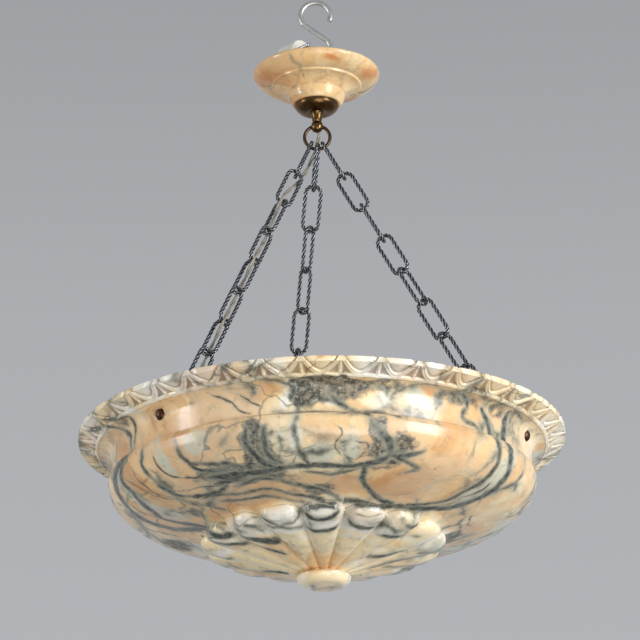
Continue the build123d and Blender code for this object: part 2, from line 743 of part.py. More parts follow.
def chain_flex_route():
    """Route of the flex: down behind the ring, through the left chain and to the hub."""
    name = "left"
    azimuth = CHAINS[name][0]
    points = [flex_pivot, flex_pivot + flex_fall * 17, *chain_weave(name)]
    # down inside the bowl and along the top of the arm: distance out, height, sideways
    for radius, z, aside in (
        (155, bowl_z + 3, 5.0),
        (149, bowl_z - 17, 4.0),
        (137, bowl_z - 34, 2.5),
        (116, flex_run_z, 0.5),
        (83, flex_run_z, 1.5),
        (49, flex_run_z, 0),
        (16, flex_run_z, 0),
    ):
        points.append(place(azimuth, radius, z) + around(azimuth) * aside)
    return points


def upper_flex_route():
    """Route of the flex from its hole in the cup to the ring's swing axis."""
    mouth, direction = flex_exit()
    return [
        mouth - direction * 3,
        mouth + direction * 5.5,
        flex_pivot - flex_fall * 14,
        flex_pivot,
    ]


# ================================================================ plug and lead
plug_t = around(PLUG_AZIMUTH)
dish_slope = math.atan2(CANOPY_DISH_DEPTH, CANOPY_RIM_R - CANOPY_RIM_LAND - CANOPY_FLOOR_R)
plug_end_r = math.hypot(PLUG_OUT, PLUG_LENGTH / 2)
dish_at_plug = canopy_floor_z + (plug_end_r - CANOPY_FLOOR_R) * math.tan(dish_slope)
plug_axis_z = dish_at_plug + (PLUG_R + SEAT_GAP) / math.cos(dish_slope)
plug_middle = place(PLUG_AZIMUTH, PLUG_OUT, plug_axis_z)
plug_front = plug_middle + plug_t * (PLUG_LENGTH / 2)
plug_tail = plug_middle - plug_t * (PLUG_LENGTH / 2)


def make_plug():
    """Round two-pin plug lying in the canopy's dish."""
    barrel_start = plug_tail + plug_t * PLUG_TAPER
    barrel = rod(barrel_start, plug_front, PLUG_R)
    nose = Plane(origin=plug_tail, z_dir=plug_t) * Cone(
        PLUG_NOSE_R, PLUG_R, PLUG_TAPER, align=(Align.CENTER, Align.CENTER, Align.MIN)
    )
    body = fillet((barrel + nose).edges().filter_by(GeomType.CIRCLE), 1.5)
    for offset in pin_offsets():
        start = plug_front - plug_t * PIN_EMBED + offset
        body -= rod(start, plug_front + offset, PIN_SHANK_R)
    return body


def pin_offsets():
    """Offsets of the two pins from the plug's axis."""
    across = out(PLUG_AZIMUTH) * (PIN_SPACING / 2)
    return [across * -1, across]


def make_pin(offset):
    """Round brass plug pin with a rounded end."""
    start = plug_front + offset
    end = start + plug_t * PIN_LENGTH
    pin = rod(start, end, PIN_R)
    rim = pin.edges().filter_by(GeomType.CIRCLE).sort_by_distance(end)[0]
    shank = rod(start - plug_t * PIN_EMBED, start, PIN_SHANK_R)
    return fillet(rim, PIN_ROUND) + shank


def lead_route():
    """Route of the plug's lead: up out of the tube and round the dish to the plug."""
    top = hook_foot_z - (HOOK_WIRE + LEAD_D) / 2 - SEAT_GAP
    return [
        Vector(0, 0, top - 28.5),
        Vector(0, 0, top),
        Vector(28.5, 4, top - 3),
        Vector(40, 24, canopy_z + 1),
        Vector(26, 41, canopy_z - 2),
        Vector(2, 47.5, canopy_z - 3),
        Vector(-22, 43, canopy_z - 2),
        Vector(-42, 28, canopy_z + 1),
        plug_tail - plug_t * 20,
        plug_tail,
    ]


# ================================================================ all pieces
def build_all():
    """Every piece by its name."""
    parts = {
        "suspension_hook": make_hook(),
        "canopy_bail": make_bail(),
        "threaded_tube": make_tube(),
        "tube_nut": make_nut(),
        "rose_washer": make_rose_washer(),
        "alabaster_canopy": make_canopy(),
        "brass_cup": make_cup(),
        "suspension_ring": make_ring(),
        "alabaster_bowl": make_bowl(),
        "lamp_spider": make_spider(),
        "hub_cover": make_hub_cover(),
        "plug_body": make_plug(),
        "plug_lead": cord("plug_lead", lead_route(), LEAD_D),
        "flex_upper": cord("flex_upper", upper_flex_route(), FLEX_D),
        "flex_in_chain": cord("flex_in_chain", chain_flex_route(), FLEX_D),
    }
    for number, offset in enumerate(pin_offsets(), 1):
        parts[f"plug_pin_{number}"] = make_pin(offset)
    for name, (azimuth, _, _) in CHAINS.items():
        for number, link in enumerate(make_chain(name), 1):
            parts[f"chain_{name}_link_{number}"] = link
        parts[f"eye_bolt_{name}"] = make_eye_bolt(azimuth)
        parts[f"button_nut_{name}"] = make_button(azimuth)
        parts[f"bolt_washer_{name}"] = make_washer(azimuth)
    for number, azimuth in enumerate(lamp_azimuths(), 1):
        parts[f"lampholder_{number}"] = make_holder(azimuth)
        parts[f"bulb_{number}"] = make_bulb(azimuth)
    return parts


def main():
    """Write one STEP file for each piece."""
    os.makedirs("parts", exist_ok=True)
    for name, shape in build_all().items():
        solids = shape.solids()
        if len(solids) != 1:
            print(f"{name}: {len(solids)} solids")
        piece = solids[0] if len(solids) == 1 else Compound(children=list(solids))
        export_step(piece, f"parts/{name}.step")
    for name in CHAINS:
        step = chain_frame(name)[4]
        gap = LINK_LENGTH - 2 * LINK_WIRE - step
        print(f"chain {name}: pitch {step:.2f}, joint gap {gap:.2f}")


if __name__ == "__main__":
    main()
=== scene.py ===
"""Alabaster bowl pendant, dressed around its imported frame.

The classes hold their sizes in millimetres, and azimuths in degrees from the front towards
+X; the studio's lengths are in metres. An outline is written as radius and drop below the
piece's rim. A height on a stone piece is the length along its outline: on the bowl the band's
top edge is at top_s, and the inside lies below zero.
"""
import logging
import math
from dataclasses import dataclass, field
from enum import Enum
from typing import Iterable, Sequence

import bmesh
import bpy
import numpy as np
from mathutils import Matrix, Vector
from mathutils.kdtree import KDTree


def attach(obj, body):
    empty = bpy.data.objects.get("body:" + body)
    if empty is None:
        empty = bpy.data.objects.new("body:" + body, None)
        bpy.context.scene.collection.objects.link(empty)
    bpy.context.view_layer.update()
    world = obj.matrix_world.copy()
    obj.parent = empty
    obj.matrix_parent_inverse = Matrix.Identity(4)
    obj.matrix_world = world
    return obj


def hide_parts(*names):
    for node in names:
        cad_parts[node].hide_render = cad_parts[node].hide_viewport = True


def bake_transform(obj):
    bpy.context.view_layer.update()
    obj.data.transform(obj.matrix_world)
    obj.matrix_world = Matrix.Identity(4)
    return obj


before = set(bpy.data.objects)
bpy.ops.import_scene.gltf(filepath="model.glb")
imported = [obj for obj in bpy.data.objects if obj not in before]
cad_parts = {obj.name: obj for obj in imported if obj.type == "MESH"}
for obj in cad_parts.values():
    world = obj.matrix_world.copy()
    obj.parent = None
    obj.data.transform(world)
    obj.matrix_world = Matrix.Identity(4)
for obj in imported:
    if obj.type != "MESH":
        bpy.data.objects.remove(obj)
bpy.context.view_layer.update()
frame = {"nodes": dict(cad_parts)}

logging.basicConfig(level=logging.INFO, format="%(message)s")
log = logging.getLogger("pendant")

MM = 0.001
WELD_GAP = 0.001
NO_RELIEF = -9.0
Pair = tuple[float, float]
Triple = tuple[float, float, float]
Colour = tuple[int, int, int]
Socket = bpy.types.NodeSocket
Value = Socket | float


# ---------------------------------------------------------------- measuring helpers
def out(azimuth: float) -> np.ndarray:
    """Unit vector away from the axis at an azimuth."""
    a = math.radians(azimuth)
    return np.array([math.sin(a), -math.cos(a), 0.0])


def around(azimuth: float) -> np.ndarray:
    """Unit vector along the rim, towards growing azimuth."""
    a = math.radians(azimuth)
    return np.array([math.cos(a), math.sin(a), 0.0])


def place(azimuth: float, radius: float, z: float) -> np.ndarray:
    """Point in millimetres at an azimuth, a distance from the axis and a height."""
    return out(azimuth) * radius + np.array([0.0, 0.0, z])


def unit(v: np.ndarray) -> np.ndarray:
    """The vector at length one."""
    return v / np.linalg.norm(v)


def step(low: float, high: float, x: np.ndarray) -> np.ndarray:
    """Smooth rise from 0 at low to 1 at high."""
    t = np.clip((np.asarray(x, float) - low) / (high - low), 0.0, 1.0)
    return t * t * (3.0 - 2.0 * t)


def near(value: float, spot: float, reach: float) -> float:
    """Share of an effect, from 1 at a spot to 0 at its reach.

    Args:
        value: Where it is asked.
        spot: Where the effect is full.
        reach: How far it goes.

    Returns:
        The share.
    """
    return float(step(reach, 0.0, np.array(abs(value - spot))))


def running(line: np.ndarray) -> np.ndarray:
    """Length of a line up to each of its points."""
    return np.r_[0, np.cumsum(np.linalg.norm(np.diff(line, axis=0), axis=1))]


def spaced(line: np.ndarray, lengths: np.ndarray) -> np.ndarray:
    """Points of a line in space at given lengths from its start.

    Args:
        line: Array of shape (n, 3).
        lengths: How far along each new point is.

    Returns:
        Array of shape (m, 3).
    """
    run = running(line)
    return np.stack([np.interp(lengths, run, line[:, k]) for k in range(3)], 1)


class Grain:
    """Smooth random field in space, between -1 and 1."""

    LATTICE = 32

    def __init__(self, seed: int, size: float) -> None:
        """Set up the field.

        Args:
            seed: Number that fixes the field.
            size: Distance in millimetres over which it changes.
        """
        rng = np.random.default_rng(seed)
        self.values = rng.random((self.LATTICE,) * 3) * 2.0 - 1.0
        self.size = size

    def at(self, points: np.ndarray) -> np.ndarray:
        """Value of the field at each point.

        Args:
            points: Array of shape (n, 3), in millimetres.

        Returns:
            Array of n values.
        """
        q = points / self.size
        base = np.floor(q).astype(int)
        f = q - base
        f = f * f * (3.0 - 2.0 * f)
        total = np.zeros(len(points))
        for corner in range(8):
            offset = np.array([corner & 1, (corner >> 1) & 1, corner >> 2])
            share = np.prod(np.where(offset, f, 1.0 - f), axis=1)
            i, j, k = ((base + offset) % self.LATTICE).T
            total += share * self.values[i, j, k]
        return total


def smooth_path(points: Sequence[Sequence[float]], count: int) -> np.ndarray:
    """Catmull-Rom curve through points.

    Args:
        points: The points, of any dimension.
        count: How many samples each span gets.

    Returns:
        Array of samples.
    """
    p = np.array(points, float)
    p = np.vstack([2 * p[0] - p[1], p, 2 * p[-1] - p[-2]])
    samples = []
    for a, b, c, d in zip(p, p[1:], p[2:], p[3:]):
        t = np.linspace(0, 1, count, endpoint=False)[:, None]
        samples.append(0.5 * (
            2 * b + (c - a) * t + (2 * a - 5 * b + 4 * c - d) * t ** 2
            + (3 * b - a - 3 * c + d) * t ** 3
        ))
    return np.vstack([*samples, p[-2][None]])


class Outline:
    """Outline of a turned piece, as radius and drop, built from runs, arcs and curves."""

    EDGE = 0.35

    def __init__(self, radius: float, drop: float) -> None:
        """Start the outline at a radius and a drop."""
        self.points: list[Pair] = [(radius, drop)]

    def run(self, radius: float, drop: float, gap: float) -> "Outline":
        """Straight run to a point, with a narrow row beside each end to keep its edge.

        Args:
            radius: End radius.
            drop: End drop.
            gap: Widest spacing of the rows.

        Returns:
            The outline itself.
        """
        start, end = np.array(self.points[-1]), np.array([radius, drop])
        length = float(np.linalg.norm(end - start))
        edge = min(self.EDGE, length / 4) / length
        rows = max(1, math.ceil(length * (1 - 2 * edge) / gap))
        shares = [edge + (1 - 2 * edge) * k / rows for k in range(rows + 1)] + [1.0]
        self.points += [tuple(start + (end - start) * s) for s in shares]
        return self

    def arc(self, middle: Pair, end: Pair, rows: int) -> "Outline":
        """Circular arc from the last point.

        Args:
            middle: A point on the arc.
            end: Its end.
            rows: How many rows it gets.

        Returns:
            The outline itself.
        """
        (ax, ay), (bx, by), (cx, cy) = self.points[-1], middle, end
        twice = 2 * (ax * (by - cy) + bx * (cy - ay) + cx * (ay - by))
        a2, b2, c2 = ax * ax + ay * ay, bx * bx + by * by, cx * cx + cy * cy
        ox = (a2 * (by - cy) + b2 * (cy - ay) + c2 * (ay - by)) / twice
        oy = (a2 * (cx - bx) + b2 * (ax - cx) + c2 * (bx - ax)) / twice
        radius = math.hypot(ax - ox, ay - oy)
        first, via, last = (math.atan2(y - oy, x - ox) for x, y in ((ax, ay), middle, end))
        turn = (last - first) % math.tau
        if (via - first) % math.tau > turn:
            turn -= math.tau
        for k in range(1, rows + 1):
            a = first + turn * k / rows
            self.points.append((ox + radius * math.cos(a), oy + radius * math.sin(a)))
        return self

    def curve(self, points: Sequence[Pair], count: int) -> "Outline":
        """Smooth curve from the last point.

        Args:
            points: The points that it runs through.
            count: How many rows each span gets.

        Returns:
            The outline itself.
        """
        path = smooth_path([self.points[-1], *points], count)[1:]
        self.points += [tuple(p) for p in path]
        return self

    def array(self) -> np.ndarray:
        """The points as an array of radius and drop."""
        return np.array(self.points)


# ---------------------------------------------------------------- mesh helpers
def new_object(name: str, data: bpy.types.ID) -> bpy.types.Object:
    """Make an object from its data and link it to the scene.

    Args:
        name: Its name.
        data: Its mesh, curve, lamp or camera.

    Returns:
        The object.
    """
    obj = bpy.data.objects.new(name, data)
    bpy.context.scene.collection.objects.link(obj)
    return obj


def add_mesh(
    name: str, points: np.ndarray, faces: Iterable[Sequence[int]], smooth: bool = True
) -> bpy.types.Object:
    """Make a mesh object from points in millimetres.

    Args:
        name: Name of the piece.
        points: Array of shape (n, 3).
        faces: Vertex numbers of each face.
        smooth: Whether the faces are shaded smooth.

    Returns:
        The new object, linked to the scene.
    """
    mesh = bpy.data.meshes.new(name)
    mesh.from_pydata((np.asarray(points) * MM).tolist(), [], list(faces))
    mesh.polygons.foreach_set("use_smooth", [smooth] * len(mesh.polygons))
    mesh.update()
    return new_object(name, mesh)


def paint(obj: bpy.types.Object, name: str, values: np.ndarray) -> None:
    """Store one number per vertex, for the finish to read.

    Args:
        obj: The piece.
        name: What the number is called.
        values: One for each vertex.
    """
    layer = obj.data.attributes.new(name, "FLOAT", "POINT")
    layer.data.foreach_set("value", np.asarray(values, np.float32))


def ring_faces(a: int, count_a: int, b: int, count_b: int) -> list[tuple[int, ...]]:
    """Faces between two closed rows, which may have one twice as many points as the other.

    Args:
        a: First vertex of the upper row.
        count_a: Its number of points.
        b: First vertex of the lower row.
        count_b: Its number of points.

    Returns:
        The faces, facing away from the axis when the second row is below the first.
    """
    faces: list[tuple[int, ...]] = []
    if count_a == count_b:
        for j in range(count_a):
            k = (j + 1) % count_a
            faces.append((a + j, b + j, b + k, a + k))
        return faces
    coarse = min(count_a, count_b)
    for j in range(coarse):
        k = (j + 1) % coarse
        left, mid, right = 2 * j, 2 * j + 1, (2 * j + 2) % (2 * coarse)
        if count_a > count_b:
            faces.append((a + left, b + j, a + mid))
            faces.append((b + j, b + k, a + right, a + mid))
        else:
            faces.append((a + j, b + left, b + mid))
            faces.append((a + j, b + mid, b + right, a + k))
    return faces


def lathe_mesh(name: str, rows: Sequence[np.ndarray], capped: bool) -> bpy.types.Object:
    """Mesh from closed rows of points, from the first row to the last.

    Args:
        name: Name of the piece.
        rows: Arrays of shape (n, 3); neighbours have as many points or half or twice that.
        capped: Whether a fan closes the first row and another the last.

    Returns:
        The object.
    """
    starts = [int(n) for n in np.cumsum([0, *(len(row) for row in rows)])]
    faces: list[tuple[int, ...]] = []
    for number, (row, following) in enumerate(zip(rows, rows[1:])):
        faces += ring_faces(starts[number], len(row), starts[number + 1], len(following))
    points = [*rows]
    if capped:
        points += [rows[0].mean(0)[None], rows[-1].mean(0)[None]]
        total, first, n, m = starts[-1], starts[-2], len(rows[0]), len(rows[-1])
        faces += [(total, j, (j + 1) % n) for j in range(n)]
        faces += [(total + 1, first + (j + 1) % m, first + j) for j in range(m)]
    return add_mesh(name, np.vstack(points), faces)


def turned(name: str, outline: Outline, top_z: float, columns: int) -> bpy.types.Object:
    """Turn an outline about the vertical axis, with its last row joined to its first.

    Args:
        name: Name of the piece.
        outline: Its radii and drops, from the bore's top round to its foot.
        top_z: Height that the drops count from.
        columns: Number of points in each row.

    Returns:
        The object.
    """
    azimuths = np.arange(columns) * math.tau / columns
    ring = np.stack([np.sin(azimuths), -np.cos(azimuths), np.zeros(columns)], 1)
    rows = [ring * r + np.array([0, 0, top_z - d]) for r, d in outline.points]
    obj = lathe_mesh(name, [*rows, rows[0]], capped=False)
    weld(obj, WELD_GAP)
    return obj


def weld(obj: bpy.types.Object, gap: float) -> None:
    """Join vertices that lie close together.

    Args:
        obj: The piece.
        gap: How near they lie, in millimetres.
    """
    work = bmesh.new()
    work.from_mesh(obj.data)
    bmesh.ops.remove_doubles(work, verts=work.verts, dist=gap * MM)
    work.to_mesh(obj.data)
    work.free()


def section_frames(path: np.ndarray, up: np.ndarray) -> tuple[np.ndarray, np.ndarray]:
    """Side and up directions along a path, without twist.

    Args:
        path: Points of the path.
        up: First direction, about square to the path.

    Returns:
        Two arrays of unit vectors, one pair for each point.
    """
    tangents = np.gradient(path, axis=0)
    tangents = tangents / np.linalg.norm(tangents, axis=1)[:, None]
    sides, ups = [], []
    for tangent in tangents:
        up = unit(up - tangent * float(up @ tangent))
        ups.append(up)
        sides.append(np.cross(tangent, up))
    return np.array(sides), np.array(ups)


def swept(name: str, path: np.ndarray, radius: float, points: int,
          up: np.ndarray) -> bpy.types.Object:
    """Round wire along a path, closed at both ends.

    Args:
        name: Name of the piece.
        path: Points of the path, in millimetres.
        radius: Radius of the wire.
        points: Number of points round it.
        up: Direction that they count from, at the start.

    Returns:
        The object.
    """
    sides, ups = section_frames(path, up)
    angles = np.arange(points) * math.tau / points
    rows = [
        centre + np.outer(np.cos(angles) * radius, u) + np.outer(np.sin(angles) * radius, side)
        for centre, u, side in zip(path, ups, sides)
    ]
    count = len(rows)
    faces: list[tuple[int, ...]] = []
    for i in range(count - 1):
        for k in range(points):
            m = (k + 1) % points
            faces.append((i * points + k, (i + 1) * points + k, (i + 1) * points + m,
                          i * points + m))
    faces.append(tuple(reversed(range(points))))
    faces.append(tuple(range((count - 1) * points, count * points)))
    return add_mesh(name, np.vstack(rows), faces)


# ---------------------------------------------------------------- finishes
def linear(colour: Colour) -> tuple[float, float, float, float]:
    """Written screen colour as the renderer's own numbers."""
    channels = [c / 255 for c in colour]
    return (*[c / 12.92 if c <= 0.04045 else ((c + 0.055) / 1.055) ** 2.4 for c in channels], 1.0)


class Wiring:
    """Short calls for a material's nodes."""

    def __init__(self, name: str) -> None:
        """Start a material with a plain surface shader.

        Args:
            name: The material's name.
        """
        self.material = bpy.data.materials.new(name)
        self.material.use_nodes = True
        self.tree = self.material.node_tree
        self.shader = self.tree.nodes["Principled BSDF"]
        self.where = self.node("TexCoord").outputs["Object"]

    def join(self, socket: Socket, value: Value | tuple[float, ...]) -> None:
        """Link a socket to another, or set its value.

        Args:
            socket: The input.
            value: The output that feeds it, or its own value.
        """
        if isinstance(value, Socket):
            self.tree.links.new(value, socket)
        else:
            socket.default_value = value

    def node(self, kind: str, **inputs: Value) -> bpy.types.Node:
        """Add a node.

        Args:
            kind: Its type, without the usual start of the name.
            inputs: What its inputs get, with spaces in their names written as underscores.

        Returns:
            The node.
        """
        made = self.tree.nodes.new(f"ShaderNode{kind}")
        for name, value in inputs.items():
            self.join(made.inputs[name.replace("_", " ")], value)
        return made

    def number(self, name: str) -> Socket:
        """Number stored on the mesh.

        Args:
            name: What it is called there.

        Returns:
            The number.
        """
        made = self.node("Attribute")
        made.attribute_name = name
        return made.outputs["Fac"]

    def noise(self, scale: float, detail: float = 3.0, rough: float = 0.55,
              vector: Socket | None = None, output: str = "Fac") -> Socket:
        """Noise over the object.

        Args:
            scale: How fine it is, for one metre.
            detail: How many finer layers it has.
            rough: How strong they are.
            vector: Where it is read, if not at the place on the object.
            output: Fac for one number, Color for three.

        Returns:
            The noise, about 0.5.
        """
        where = self.where if vector is None else vector
        made = self.node("TexNoise", Scale=scale, Detail=detail, Roughness=rough, Vector=where)
        return made.outputs[output]

    def cells(self, scale: float, vector: Socket, edges: bool = False) -> Socket:
        """Pattern of cells.

        Args:
            scale: How fine it is, for one metre.
            vector: Where it is read.
            edges: Whether it gives the distance to the cells' edges.

        Returns:
            That distance, or else one random number for each cell.
        """
        made = self.node("TexVoronoi", Scale=scale, Vector=vector)
        if edges:
            made.feature = "DISTANCE_TO_EDGE"
            return made.outputs["Distance"]
        return self.node("SeparateColor", Color=made.outputs["Color"]).outputs["Red"]

    def warped(self, scale: float, amount: float) -> Socket:
        """The place on the object, pushed about by noise.

        Args:
            scale: How fine the noise is.
            amount: How far it pushes, in metres.

        Returns:
            The place.
        """
        push = self.node("VectorMath")
        push.operation = "MULTIPLY_ADD"
        for socket, value in zip(push.inputs, (
                self.noise(scale, 4.0, output="Color"), (amount,) * 3, self.where)):
            self.join(socket, value)
        return push.outputs["Vector"]

    def shifted(self, vector: Socket, amount: float) -> Socket:
        """A place moved aside, so that a second noise differs from the first.

        Args:
            vector: The place.
            amount: How far it is moved, in metres.

        Returns:
            The place.
        """
        move = self.node("VectorMath")
        move.operation = "ADD"
        self.join(move.inputs[0], vector)
        self.join(move.inputs[1], (amount, amount * 0.7, -amount))
        return move.outputs["Vector"]

    def maths(self, operation: str, a: Value, b: Value = 0.0, clamp: bool = False) -> Socket:
        """One sum on two numbers.

        Args:
            operation: Which sum.
            a: First number.
            b: Second number.
            clamp: Whether the result stays between 0 and 1.

        Returns:
            The result.
        """
        made = self.node("Math")
        made.operation = operation
        made.use_clamp = clamp
        self.join(made.inputs[0], a)
        self.join(made.inputs[1], b)
        return made.outputs["Value"]

    def times(self, a: Value, b: Value) -> Socket:
        """Product of two numbers."""
        return self.maths("MULTIPLY", a, b)

    def plus(self, first: Value, *others: Value) -> Socket:
        """Sum of numbers.

        Args:
            first: The first.
            others: The others.

        Returns:
            The sum.
        """
        for other in others:
            first = self.maths("ADD", first, other)
        return first

    def spread(self, value: Value, amount: float) -> Socket:
        """A number between 0 and 1, moved to be about 0 and scaled."""
        return self.times(self.maths("SUBTRACT", value, 0.5), amount)

    def rise(self, value: Value, low: float, high: float) -> Socket:
        """Smooth rise from 0 at low to 1 at high, or a fall where low is the greater.

        Args:
            value: The number.
            low: Where it gives 0.
            high: Where it gives 1.

        Returns:
            A number between 0 and 1.
        """
        flip = low > high
        made = self.node("MapRange", To_Min=float(flip), To_Max=float(not flip))
        made.interpolation_type = "SMOOTHSTEP"
        self.join(made.inputs["Value"], value)
        self.join(made.inputs["From Min"], min(low, high))
        self.join(made.inputs["From Max"], max(low, high))
        return made.outputs["Result"]

    def mix(self, share: Value, first: Socket | Colour, second: Socket | Colour) -> Socket:
        """Colour between two colours.

        Args:
            share: How much of the second there is.
            first: The first, as a colour to write or a socket.
            second: The second, likewise.

        Returns:
            The colour.
        """
        made = self.node("Mix")
        made.data_type = "RGBA"
        self.join(made.inputs["Factor"], share)
        ends = [s for s in made.inputs if s.type == "RGBA"]
        for socket, value in zip(ends, (first, second)):
            self.join(socket, linear(value) if isinstance(value, tuple) else value)
        return next(s for s in made.outputs if s.type == "RGBA")

    def bump(self, height: Socket, strength: float, distance: float) -> None:
        """Add fine relief to the surface.

        Args:
            height: The relief.
            strength: How strongly it shades.
            distance: How high it stands, in metres.
        """
        made = self.node("Bump", Strength=strength, Distance=distance, Height=height)
        self.join(self.shader.inputs["Normal"], made.outputs["Normal"])

    def set(self, **values: Value | tuple[float, ...]) -> None:
        """Set the shader's inputs by name, with spaces written as underscores."""
        for name, value in values.items():
            self.join(self.shader.inputs[name.replace("_", " ")], value)


@dataclass(frozen=True)
class Alabaster:
    """Veined and clouded alabaster, polished."""

    name: str
    cream: Colour = (248, 228, 186)
    pink: Colour = (228, 196, 160)
    peach: Colour = (238, 198, 144)
    orange: Colour = (212, 158, 102)
    pale: Colour = (208, 210, 192)
    white: Colour = (246, 242, 230)
    grey: Colour = (112, 116, 106)
    film: Colour = (182, 178, 156)
    dark: Colour = (52, 54, 52)
    # brown of the darkening in hollows, creases and corners: partly patina, partly painted shade
    shade_and_patina: Colour = (136, 98, 62)
    cell_scale: float = 19.0
    warmth: float = 0.25
    matrix: float = 0.85
    fine_veins: float = 0.7
    roughness: float = 0.2

    def make(self) -> bpy.types.Material:
        """Build the material.

        Returns:
            The material. It reads the numbers that StoneMarks stores on a mesh.
        """
        w = Wiring(self.name)
        wavy = w.warped(12.0, 0.055)
        mottle = w.noise(62.0, 6.0, 0.68)
        lively = w.maths("SUBTRACT", 1.0, w.number("calm"), clamp=True)
        body = self.clouds(w, wavy, mottle)
        body = self.matrix_between(w, body, wavy, mottle, lively)
        body = self.fine_lines(w, body, wavy, lively)
        ragged = w.noise(70.0, 5.0, 0.66, vector=w.shifted(w.where, 2.3))
        crushed = w.plus(w.number("dust"), w.spread(ragged, 2.0))
        inside = w.rise(crushed, 0.3, 0.75)
        blots = w.noise(170.0, 5.0, 0.7)
        body = w.mix(w.times(w.rise(crushed, 0.1, 0.6), 0.8), body, self.grey)
        body = self.crushed_lumps(w, body, inside, blots)
        body = self.drawn_veins(w, body)
        # Partly brown patina and partly painted shade: the stone goes darker and browner in the
        # carving's hollows, creases and inner corners, following the hollow number, broken up by
        # noise.
        shade_and_patina_mask = w.plus(w.number("hollow"), w.spread(w.noise(110.0, 4.0, 0.7), 0.9))
        body = w.mix(w.times(w.rise(shade_and_patina_mask, 0.3, 1.1), 0.62), body, self.shade_and_patina)
        polish = w.times(w.noise(40.0, 4.0), self.roughness * 2)
        w.set(Base_Color=body, Roughness=w.plus(w.times(inside, 0.2), polish), IOR=1.52,
              Subsurface_Weight=0.06, Subsurface_Scale=0.003, Subsurface_Radius=(1.0, 0.7, 0.45))
        pits = w.plus(w.times(blots, inside), w.times(w.noise(14.0, 2.0), 2.0))
        w.bump(pits, strength=0.2, distance=0.0012)
        return w.material

    def clouds(self, w: Wiring, wavy: Socket, mottle: Socket) -> Socket:
        """Clouds of cream, peach and orange, with one level for each crushed lump.

        Args:
            w: The material's wiring.
            wavy: The warped place on the object.
            mottle: Fine noise.

        Returns:
            The stone's colour so far.
        """
        drift = w.noise(24.0, 5.0, 0.62, vector=wavy)
        lump = w.cells(self.cell_scale, wavy)
        slow = w.noise(6.0, 4.0, 0.6)
        warm = w.plus(w.number("warm"), w.spread(slow, 2.2), w.spread(lump, 0.7),
                      w.spread(drift, 1.5), w.spread(mottle, 0.7), self.warmth)
        body = w.mix(w.rise(warm, -0.1, 0.4), self.cream, self.peach)
        body = w.mix(w.rise(warm, 0.35, 1.0), body, self.orange)
        body = w.mix(w.rise(warm, -0.15, -0.8), body, self.white)
        blush = w.rise(w.noise(9.0, 3.0, vector=w.shifted(wavy, 5.0)), 0.5, 0.66)
        body = w.mix(w.times(blush, 0.6), body, self.pink)
        film = w.rise(w.noise(38.0, 6.0, 0.7, vector=w.shifted(wavy, 9.0)), 0.5, 0.7)
        body = w.mix(w.times(film, 0.5), body, self.film)
        pale = w.plus(w.number("pale"), w.spread(drift, 1.4))
        return w.mix(w.times(w.rise(pale, 0.25, 0.7), 0.85), body, self.pale)

    def matrix_between(self, w: Wiring, body: Socket, wavy: Socket, mottle: Socket,
                       lively: Socket) -> Socket:
        """Grey matrix between the lumps, with dark threads in it.

        Args:
            w: The material's wiring.
            body: The stone's colour so far.
            wavy: The warped place on the object.
            mottle: Fine noise.
            lively: 0 in the calm areas, 1 elsewhere.

        Returns:
            The colour with the matrix.
        """
        edge = w.cells(self.cell_scale, wavy, edges=True)
        shows = w.rise(w.noise(10.0, 3.0, vector=w.shifted(w.where, 4.0)), 0.42, 0.54)
        shows = w.times(shows, lively)
        near_edge = w.plus(edge, w.spread(mottle, -0.35))
        bands = ((0.20, 0.02, self.film, 0.8), (0.085, 0.0, self.grey, 0.75),
                 (0.035, -0.03, self.dark, 0.7))
        for width, full, colour, share in bands:
            band = w.times(w.rise(near_edge, width, full), shows)
            body = w.mix(w.times(band, share * self.matrix), body, colour)
        return body

    def fine_lines(self, w: Wiring, body: Socket, wavy: Socket, lively: Socket) -> Socket:
        """Fine veins, where two slow noises cross a level.

        Args:
            w: The material's wiring.
            body: The stone's colour so far.
            wavy: The warped place on the object.
            lively: 0 in the calm areas, 1 elsewhere.

        Returns:
            The colour with the veins.
        """
        for scale, width, aside in ((7.0, 0.010, 3.1), (13.0, 0.014, 7.7)):
            level = w.noise(scale, 3.0, 0.5, vector=w.shifted(wavy, aside))
            line = w.rise(w.maths("ABSOLUTE", w.maths("SUBTRACT", level, 0.5)), width, 0.0)
            part = w.rise(w.noise(8.0, 2.0, vector=w.shifted(w.where, aside * 2)), 0.46, 0.6)
            share = w.times(w.times(line, part), self.fine_veins)
            body = w.mix(w.times(share, lively), body, self.grey)
        return body

    def crushed_lumps(self, w: Wiring, body: Socket, inside: Socket, blots: Socket) -> Socket:
        """Dark blots and pale lumps inside the crushed areas.

        Args:
            w: The material's wiring.
            body: The stone's colour so far.
            inside: 1 inside a crushed area, 0 elsewhere.
            blots: Coarse noise.

        Returns:
            The colour with the blots and lumps.
        """
        dark = w.times(inside, w.rise(blots, 0.4, 0.58))
        body = w.mix(w.times(dark, 0.85), body, self.dark)
        lumps = w.rise(w.noise(240.0, 3.0, 0.6, vector=w.shifted(w.where, 1.0)), 0.55, 0.66)
        return w.mix(w.times(w.times(inside, lumps), 0.45), body, self.pale)

    def drawn_veins(self, w: Wiring, body: Socket) -> Socket:
        """Bold veins with a grey halo, and hair veins, from the distances on the mesh.

        Args:
            w: The material's wiring.
            body: The stone's colour so far.

        Returns:
            The colour with the veins.
        """
        tone = w.number("tone")
        wander = w.spread(w.noise(110.0, 5.0, 0.7), 5.4)
        gap = w.plus(w.number("vein"), wander)
        streak = w.mix(w.rise(w.noise(170.0, 5.0, 0.72), 0.4, 0.62), self.dark, self.grey)
        body = w.mix(w.times(w.times(w.rise(gap, 7.0, 0.0), tone), 0.65), body, self.film)
        body = w.mix(w.times(w.times(w.rise(gap, 3.2, 0.4), tone), 0.8), body, self.grey)
        body = w.mix(w.times(w.rise(gap, 1.3, -0.6), tone), body, streak)
        hair = w.plus(w.number("hair"), w.times(wander, 0.4))
        body = w.mix(w.times(w.rise(hair, 2.4, 0.0), 0.5), body, self.film)
        return w.mix(w.times(w.rise(hair, 0.9, -0.3), 0.8), body, self.dark)


